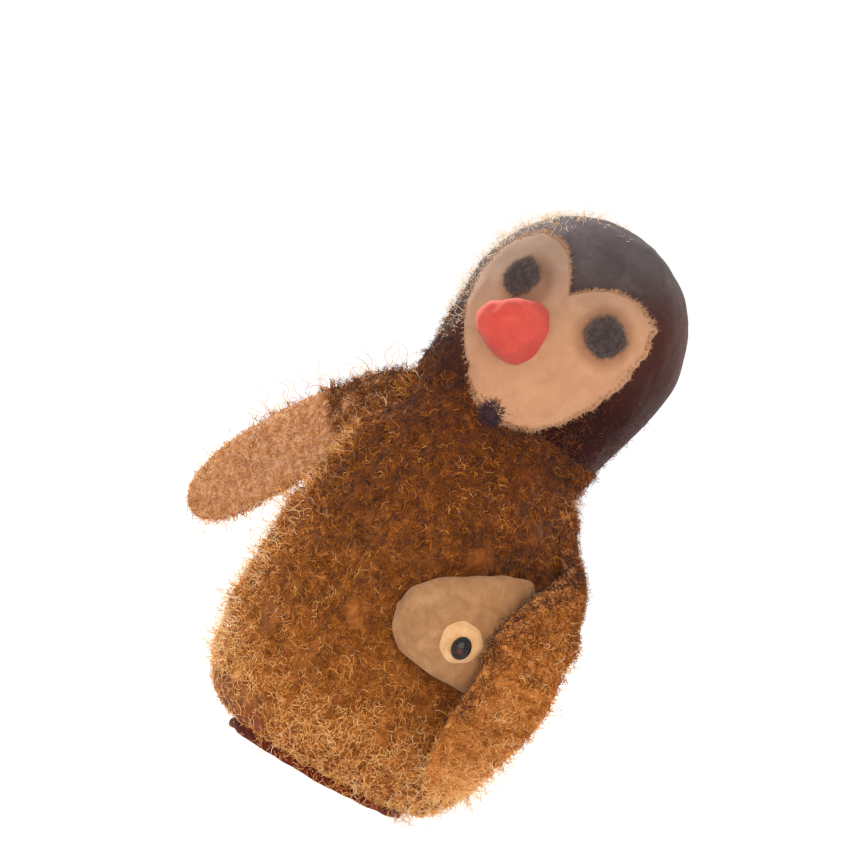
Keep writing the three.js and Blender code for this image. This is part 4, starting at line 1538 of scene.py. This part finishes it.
@dataclass
class Coat:
    """The wool that covers the skin, wings and edges."""

    form: Form
    bag: Bag
    face: Face
    right: RightWing
    left: LeftWing

    def build(self) -> None:
        """Grows the curls, the fuzz and the stray fibres."""
        self._body_curls()
        self._body_halo()
        self._hood_fuzz()
        self._hood_strays()
        self._wing_wool()
        self._edges()

    def shade_of(self, points: Array, rng: Rng, spread: float = 0.9) -> Array:
        """Which wool each place gets: amber low down, umber at the chest and plum at the neck, partly the wools'
        own colours and partly painted shade.

        Args:
            points: places in the row frame, in millimetres.
            rng: the seeded source of chance.
            spread: how much the shades vary.

        Returns:
            The number of each place's wool.
        """
        height = points[:, 2]
        # Amber low down to plum at the neck: partly the wools' own colours, partly painted shade that darkens the
        # chest and neck.
        tone = np.interp(height, (0, 22, 45, 88, 122, 145, 165, 190), (5.5, 5.3, 3.5, 2.2, 2.4, 1.9, 1.2, 0.4))
        side = np.abs(points[:, 0]) / self.form.radius(np.minimum(height, 120))
        # Painted glow: paler wool on the lower sides, where the light from behind catches the edge.
        edge = eased((side - 0.5) / 0.5) * eased((120 - height) / 40)
        clumps = lumps(points, 9, 71) * 0.6 + lumps(points, 4.0, 72) * 0.9
        # Painted shadow: darker wool just above the fish, in front.
        above = np.exp(-((points[:, 0] - 24) / 20) ** 2 - ((height - 110) / 7) ** 2) * (points[:, 1] < 0)
        return np.minimum(tone + edge * 1.2 - above * 1.5 + clumps + rng.normal(0, spread, len(points)), 5.8)

    def _bare(self, points: Array) -> Array:
        """Where the hem's edge is worn smooth."""
        return (points[:, 0] < -26) & (points[:, 2] < 20)

    def _grow(self, name: str, pile: Pile, ground: Ground, shade: Array, seed: int, where: Seam | str) -> None:
        """Makes a lot of wool.

        Args:
            name: the lot's name.
            pile: how it stands.
            ground: where it grows.
            shade: which wool each curl is.
            seed: picks the curls.
            where: the body that it moves with, or a seam, where it is left unparented.
        """
        for piece in Fleece(name, pile, ground, shade, seed).pieces():
            if isinstance(where, Seam):
                start, end = self.form.bend(where)
                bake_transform(piece)
            else:
                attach(piece, where)
            LOG.info("%s made", piece.name)

    def _outside(self, skin: Skin, count: int, rng: Rng) -> Ground:
        """Places on a hollow skin's outer side.

        Args:
            skin: the surface.
            count: how many.
            rng: the seeded source of chance.

        Returns:
            The places.
        """
        ground = Ground(*skin.scattered(count, rng))
        centre = self.form.middle(ground.roots[:, 2])[0]
        return ground.kept(dots(ground.facing, ground.roots - centre)[:, 0] > 0)

    def _body_curls(self) -> None:
        """The short tangled curls all over the body, and round the collar."""
        rng = np.random.default_rng(101)
        ground = self._outside(self.bag.body, 70000, rng)
        ground = ground.kept(~self._bare(ground.roots) | (rng.random(len(ground)) < 0.25))
        self._grow("body_curls", BODY_CURLS, ground, self.shade_of(ground.roots, rng), 102, Seam.TILT)
        ground = self._outside(self.bag.collar, 6500, rng)
        self._grow("collar_curls", BODY_CURLS, ground, self.shade_of(ground.roots, rng), 103, Seam.NOD)

    def _body_halo(self) -> None:
        """Loose fibres that stand off the curls, painted paler at the sides for the glow of light from behind."""
        rng = np.random.default_rng(111)
        ground = self._outside(self.bag.body, 60000, rng)
        rim = eased((np.abs(ground.facing[:, 0]) - 0.7) / 0.3) ** 2
        keep = (rng.random(len(ground)) < 0.05 + 0.6 * rim) & ~self._bare(ground.roots)
        ground, rim = ground.kept(keep), rim[keep]
        # Painted glow: up to two shades paler where the body's sides face sideways.
        shade = self.shade_of(ground.roots, rng) + rng.uniform(0.2, 1.4, len(ground)) + 2.0 * rim
        self._grow("body_fuzz", BODY_FUZZ, ground, np.minimum(shade, 7), 112, Seam.TILT)

    def _hood_fuzz(self) -> None:
        """Fine dark fuzz low on the hood that thins out over the crown, and pale fuzz on its upper right edge, its
        fibres painted pale for the glow of light from behind.
        """
        rng = np.random.default_rng(121)
        ground = self._outside(self.bag.hood, 30000, rng)
        thick = np.interp(self.form.neck_height(ground.roots), (12, 24, 36, 46), (1.0, 0.6, 0.12, 0.0))
        thick = thick * np.where(ground.facing[:, 0] > 0.6, 0.3, 1)
        ground = ground.kept((rng.random(len(ground)) < thick) & self._hooded(ground.roots, COLLAR_TOP))
        self._grow("hood_curls", HOOD_CURLS, ground, self.shade_of(ground.roots, rng, 0.5), 122, "head")
        # Pale fuzz on the hood's upper right edge, its fibres painted pale for the glow of light from behind.
        ground = self._outside(self.bag.hood, 15000, rng)
        across = self._round_head(ground.roots)
        side = eased((-across[:, 0] * 0.85 + across[:, 2] * 0.45 - 0.3) / 0.7)
        share = side * (1 - eased((np.abs(across[:, 1]) - 0.05) / 0.55))
        ground = ground.kept((rng.random(len(ground)) < share) & self._hooded(ground.roots, COLLAR_TOP))
        self._grow("hood_fuzz", HOOD_FUZZ, ground, rng.choice([6, 7, 8, 8], len(ground)), 123, "head")

    def _hood_strays(self) -> None:
        """Long loose fibres on the hood's right side."""
        rng = np.random.default_rng(151)
        ground = self._outside(self.bag.hood, 900, rng)
        across = self._round_head(ground.roots)
        keep = (-across[:, 0] * 0.85 + across[:, 2] * 0.35 > 0.55) & (np.abs(across[:, 1]) < 0.5)
        ground = ground.kept(keep & self._hooded(ground.roots, 14))
        self._grow("hood_strays", HOOD_STRAYS, ground, rng.uniform(6.0, 8.4, len(ground)), 152, "head")

    def _round_head(self, points: Array) -> Array:
        """The way each point lies from the head's centre."""
        return unit(points - self.form.from_head(np.array([[0, 0, self.form.head_centre]])))

    def _hooded(self, points: Array, low: float) -> Array:
        """Which places on the head are bare hood, above a height along the neck.

        Args:
            points: places in the row frame, in millimetres.
            low: the lowest height that counts.

        Returns:
            True where the hood is bare.
        """
        local = carried(points, self.form.head_matrix().inverted())
        across, up = local[:, 0], local[:, 2] - self.form.head_centre
        edge = self.face.edge()
        masked = np.zeros(len(points), bool)
        for (x1, y1), (x2, y2) in zip(edge, np.roll(edge, -1, axis=0)):
            crosses = (y1 > up) != (y2 > up)
            slope = (x2 - x1) * (up - y1) / np.where(y2 == y1, 1e-9, y2 - y1) + x1
            masked ^= crosses & (across < slope)
        return (self.form.neck_height(points) > low) & ~(masked & (local[:, 1] < 0))

    def _wing_wool(self) -> None:
        """Curls on the wings' outer sides, short pile inside and fuzz on their edges."""
        rng = np.random.default_rng(131)
        for wing, body in ((self.right, "wing_right"), (self.left, "wing_left")):
            outer, inner = wing.layers["outer"], wing.layers["inner"]
            ground = Ground(*outer.scattered(9000, rng))
            ground = ground.kept(self._squarely(wing, ground) > -0.1)
            # Darker curls along the left wing's front edge beside the fish: partly dark fibres, partly painted
            # shade in the gap over the fish.
            beside = self._over_fish(wing, ground.roots, rng.normal(4, 2, len(ground))) & (ground.roots[:, 2] > 52)
            shade = self.shade_of(ground.roots, rng) + 0.2 - 2.2 * beside
            self._grow(f"{wing.name}_curls", WING_CURLS, ground, shade, 132, body)
            ground = Ground(*inner.scattered(11000, rng))
            ground = ground.kept(self._squarely(wing, ground) < 0.1)
            near = self._wing_share(wing, ground.roots) < 0.27 + 0.04 * lumps(ground.roots, 7, 74)
            shade = 4.9 + lumps(ground.roots, 4, 72) * 0.6 + rng.normal(0, 1.0, len(ground))
            self._grow(f"{wing.name}_pile", WING_PILE, ground.kept(~near), shade[~near], 133, body)
            ground = ground.kept(near)
            shade = self.shade_of(ground.roots, rng)
            self._grow(f"{wing.name}_root_curls", WING_CURLS, ground, shade, 135, body)
            both = zip(outer.scattered(9000, rng), inner.scattered(7000, rng))
            ground = Ground(*(np.vstack(pair) for pair in both))
            flat = np.abs(self._squarely(wing, ground))
            keep = rng.random(len(ground)) < 0.03 + 0.97 * eased((0.5 - flat) / 0.3)
            keep &= (ground.roots[:, 2] < 122) & ~self._over_fish(wing, ground.roots, 11.0)
            ground = ground.kept(keep)
            self._grow(f"{wing.name}_fuzz", WING_FUZZ, ground, rng.uniform(5.2, 7.5, len(ground)), 134, body)

    def _nearest(self, wing: Wing, points: Array) -> Array:
        """Which of the wing's stations, counted in fours, is nearest each point."""
        return np.linalg.norm(points[:, None] - wing.line[None, ::4], axis=2).argmin(1)

    def _squarely(self, wing: Wing, ground: Ground) -> Array:
        """How squarely each place faces the wing's outer side, from 1 there to -1 inside."""
        return dots(ground.facing, wing.facing[::4][self._nearest(wing, ground.roots)])[:, 0]

    def _wing_share(self, wing: Wing, points: Array) -> Array:
        """How far along the wing each point lies, from 0 at its root to 1 at its tip."""
        length = np.concatenate([[0], np.cumsum(np.linalg.norm(np.diff(wing.line, axis=0), axis=1))])
        return (length / length[-1])[::4][self._nearest(wing, points)]

    def _over_fish(self, wing: Wing, points: Array, within: float | Array) -> Array:
        """Which points are on the left wing's front edge beside the fish, within some millimetres of it.

        Args:
            wing: the wing.
            points: places in the row frame, in millimetres.
            within: how near, in millimetres.

        Returns:
            True for those points.
        """
        across = unit(np.cross(wing.facing, np.gradient(wing.line, axis=0)))[::4]
        nearest = self._nearest(wing, points)
        side = dots(points - wing.line[::4][nearest], across[nearest])[:, 0]
        front = np.sign(across[len(across) // 2, 0]) * side < within - 15
        return front & (points[:, 2] > 30) & (wing.name == "wing_left")

    def _edges(self) -> None:
        """Long stray curls here and there, on the body's sides and the right wing."""
        rng = np.random.default_rng(141)
        ground = self._outside(self.bag.body, 6000, rng)
        keep = (np.abs(ground.facing[:, 0]) > 0.88) & ~self._bare(ground.roots)
        keep &= ground.roots[:, 2] < np.where(ground.roots[:, 0] < 0, 104, 90)
        self._strays("body_strays", STRAYS, ground.kept(keep), 142, Seam.TILT, rng)
        ground = self._outside(self.bag.body, 2600, rng)
        keep = (ground.roots[:, 2] < 12) & (ground.roots[:, 0] > 0)
        self._strays("hem_strays", HEM_STRAYS, ground.kept(keep), 143, "torso", rng)
        for part in ("outer", "inner"):
            ground = Ground(*self.right.layers[part].scattered(1300, rng))
            ground = ground.kept(np.abs(self._squarely(self.right, ground)) < 0.6)
            self._strays(f"wing_right_{part}_strays", STRAYS, ground, 144, "wing_right", rng)
        ground = Ground(*self.left.layers["outer"].scattered(500, rng))
        keep = (ground.facing[:, 0] > 0.4) & (ground.roots[:, 2] < 90)
        self._strays("wing_left_strays", STRAYS, ground.kept(keep), 145, "wing_left", rng)

    def _strays(self, name: str, pile: Pile, ground: Ground, seed: int, where: Seam | str, rng: Rng) -> None:
        """Long stray curls in mixed shades."""
        self._grow(name, pile, ground, rng.uniform(*STRAY_SHADES, len(ground)), seed, where)


# ---- finishes of this puppet

HIGHER = (-0.485, 0, 0.875)  # up, as the leaning puppet is seen

# Tints: darker towards the chest, partly painted shade, and darker and redder at the hem.
BODY_FELT = Felt("body_felt_brown", shown(84, 44, 14), shown(128, 72, 26), shown(168, 102, 46), patch=5,
                 tints=(Tint(shown(190, 170, 160), (0, 0, 1), 60, 150),
                        Tint(shown(215, 120, 90), (0, 0, 1), 16, 5)))
HEM_FELT = Felt("hem_felt_russet", shown(60, 18, 8), shown(92, 28, 12), shown(130, 52, 22), patch=5)
# Tints: the hood's own maroon lower down, and a painted haze of light that makes it paler and greyer towards its
# top as the puppet is seen.
HOOD_FELT = Felt("hood_felt_charcoal", shown(78, 69, 71), shown(89, 79, 81), shown(100, 90, 92), patch=9,
                 speckle=0.22, bump=0.4, sheen=0.0,
                 tints=(Tint(shown(222, 222, 216), HIGHER, 215, 200),
                        Tint(shown(215, 138, 122), HIGHER, 204, 172),
                        Tint(shown(172, 104, 84), HIGHER, 170, 136)))
THREAD = Felt("thread_brown", shown(60, 34, 20), shown(84, 50, 28), shown(108, 70, 40), patch=2)
TUBE_FELT = Felt("tube_felt_charcoal", shown(40, 30, 32), shown(56, 44, 46), shown(72, 58, 58))
# Tints: a painted bluish haze of light over the top of the mask as the puppet is seen, and greyer round each eye.
MASK_FELT = Felt("mask_felt_cream", shown(166, 122, 92), shown(176, 130, 98), shown(184, 138, 106), patch=10,
                 speckle=0.06, fibre=0.7, bump=0.3,
                 tints=(Tint(shown(208, 226, 250), HIGHER, 162, 208),
                        Tint(shown(210, 200, 196), (-22.5, -40.5, 210.7), 15, 9, Reach.ROUND),
                        Tint(shown(210, 200, 196), (16.5, -44.0, 205.0), 15, 9, Reach.ROUND)))
EYE_FELT = Felt("eye_felt_soot", shown(46, 38, 38), shown(60, 49, 48), shown(80, 66, 62), patch=2.5, speckle=0.25)
BEAK_FELT = Felt("beak_felt_coral", shown(176, 62, 54), shown(184, 68, 58), shown(194, 78, 64), patch=9,
                 speckle=0.06, bump=0.25)
TUFT_FELT = Felt("tuft_felt_plum", shown(36, 20, 26), shown(52, 30, 36), shown(70, 42, 44), patch=2)
WING_FELT = Felt("wing_felt_brown", shown(130, 74, 34), shown(180, 110, 52), shown(212, 144, 80), patch=5)
PALM_FELT = Felt("palm_felt_tan", shown(136, 86, 56), shown(176, 124, 88), shown(214, 168, 132), patch=3.5,
                 speckle=0.5, fibre=0.5)
# Tint: painted shade, darker towards the puppet's left where the fish goes under the wing.
FISH_FELT = Felt("fish_felt_grey", shown(138, 96, 62), shown(154, 111, 74), shown(170, 128, 90), patch=8,
                 speckle=0.16, fibre=0.8, bump=0.4, tints=(Tint(shown(228, 218, 208), (1, 0, 0), 14, 44),))
RING_FELT = Felt("ring_felt_cream", shown(190, 144, 98), shown(204, 158, 112), shown(214, 172, 128), patch=5,
                 speckle=0.08)
EYE_GLASS = Bead("eye_bead_black", shown(14, 8, 8), shown(90, 34, 20))


# ---- studio


@dataclass
class Studio:
    """The floor, the light and the camera."""

    aim: Point = (-28.0, 0.0, 142.0)
    roll: float = math.radians(29)
    distance: float = 1500.0
    view_height: float = 337.5
    floor_drop: float = 12.0

    def build(self) -> None:
        """Sets up everything round the puppet."""
        self._floor()
        self._lights()
        self._camera()

    def _floor(self) -> None:
        """A plain pale floor."""
        corners = np.array([[-1, -1], [1, -1], [1, 1], [-1, 1]]) * 6000.0
        points = np.column_stack([corners, np.full(4, -self.floor_drop)])
        pale = Nodes("floor_pale", {"Base Color": (0.25, 0.25, 0.25, 1), "Roughness": 0.9,
                                    "Emission Color": (1, 1, 1, 1), "Emission Strength": 0.85})
        made("floor", Skin(points, [np.array([[0, 1, 2, 3]])]), [pale.material])

    def _lights(self) -> None:
        """A white room, a warm low fill and strong light from behind."""
        world = bpy.context.scene.world or bpy.data.worlds.new("room")
        bpy.context.scene.world = world
        world.use_nodes = True
        world.node_tree.nodes["Background"].inputs["Color"].default_value = (1, 1, 1, 1)
        world.node_tree.nodes["Background"].inputs["Strength"].default_value = 1.05
        self._sun("back_left", (0.75, -1.0, -0.55), 5.0, (1.0, 0.95, 0.86), 12)
        self._sun("back_right", (-0.8, -1.0, -0.2), 3.0, (1.0, 0.95, 0.88), 12)
        self._sun("front", (-0.1, 1.0, -0.15), 1.7, (1.0, 0.9, 0.76), 50)

    def _sun(self, name: str, heading: Point, strength: float, colour: Colour,
             width: float) -> None:
        """A soft lamp that shines along heading, as wide as width in degrees.

        Args:
            name: its name.
            heading: the way it shines.
            strength: how bright it is.
            colour: its colour.
            width: how wide it looks, in degrees.
        """
        lamp = bpy.data.lights.new(name, "SUN")
        lamp.energy, lamp.angle, lamp.color = strength, math.radians(width), colour
        holder = bpy.data.objects.new(name, lamp)
        holder.rotation_euler = Vector(heading).to_track_quat("-Z", "Y").to_euler()
        bpy.context.scene.collection.objects.link(holder)

    def _camera(self) -> None:
        """The camera, level and rolled, so that the puppet leans over to its left."""
        data = bpy.data.cameras.new("camera")
        data.angle = 2 * math.atan(self.view_height / 2 / self.distance)
        data.clip_start, data.clip_end = 0.01, 50
        camera = bpy.data.objects.new("camera", data)
        right = Vector((math.cos(self.roll), 0, math.sin(self.roll)))
        up = Vector((-math.sin(self.roll), 0, math.cos(self.roll)))
        turn = Matrix((right, up, right.cross(up))).transposed().to_4x4()
        place = Vector(self.aim) * MM + Vector((0, -self.distance * MM, 0))
        camera.matrix_world = Matrix.Translation(place) @ turn
        bpy.context.scene.collection.objects.link(camera)
        bpy.context.scene.camera = camera
        bpy.context.scene.view_settings.view_transform = "Standard"


# ---- assembly


def main() -> None:
    """Builds the puppet in order, then the studio."""
    logging.basicConfig(level=logging.INFO, format="%(name)s: %(message)s")
    form = Form()
    bag = Bag(form)
    bag.build()
    face = Face(form)
    face.build()
    right, left = RightWing("wing_right", form), LeftWing("wing_left", form)
    right.build()
    left.build()
    Fish(form).build()
    Coat(form, bag, face, right, left).build()
    Studio().build()


if __name__ == "__main__":
    main()
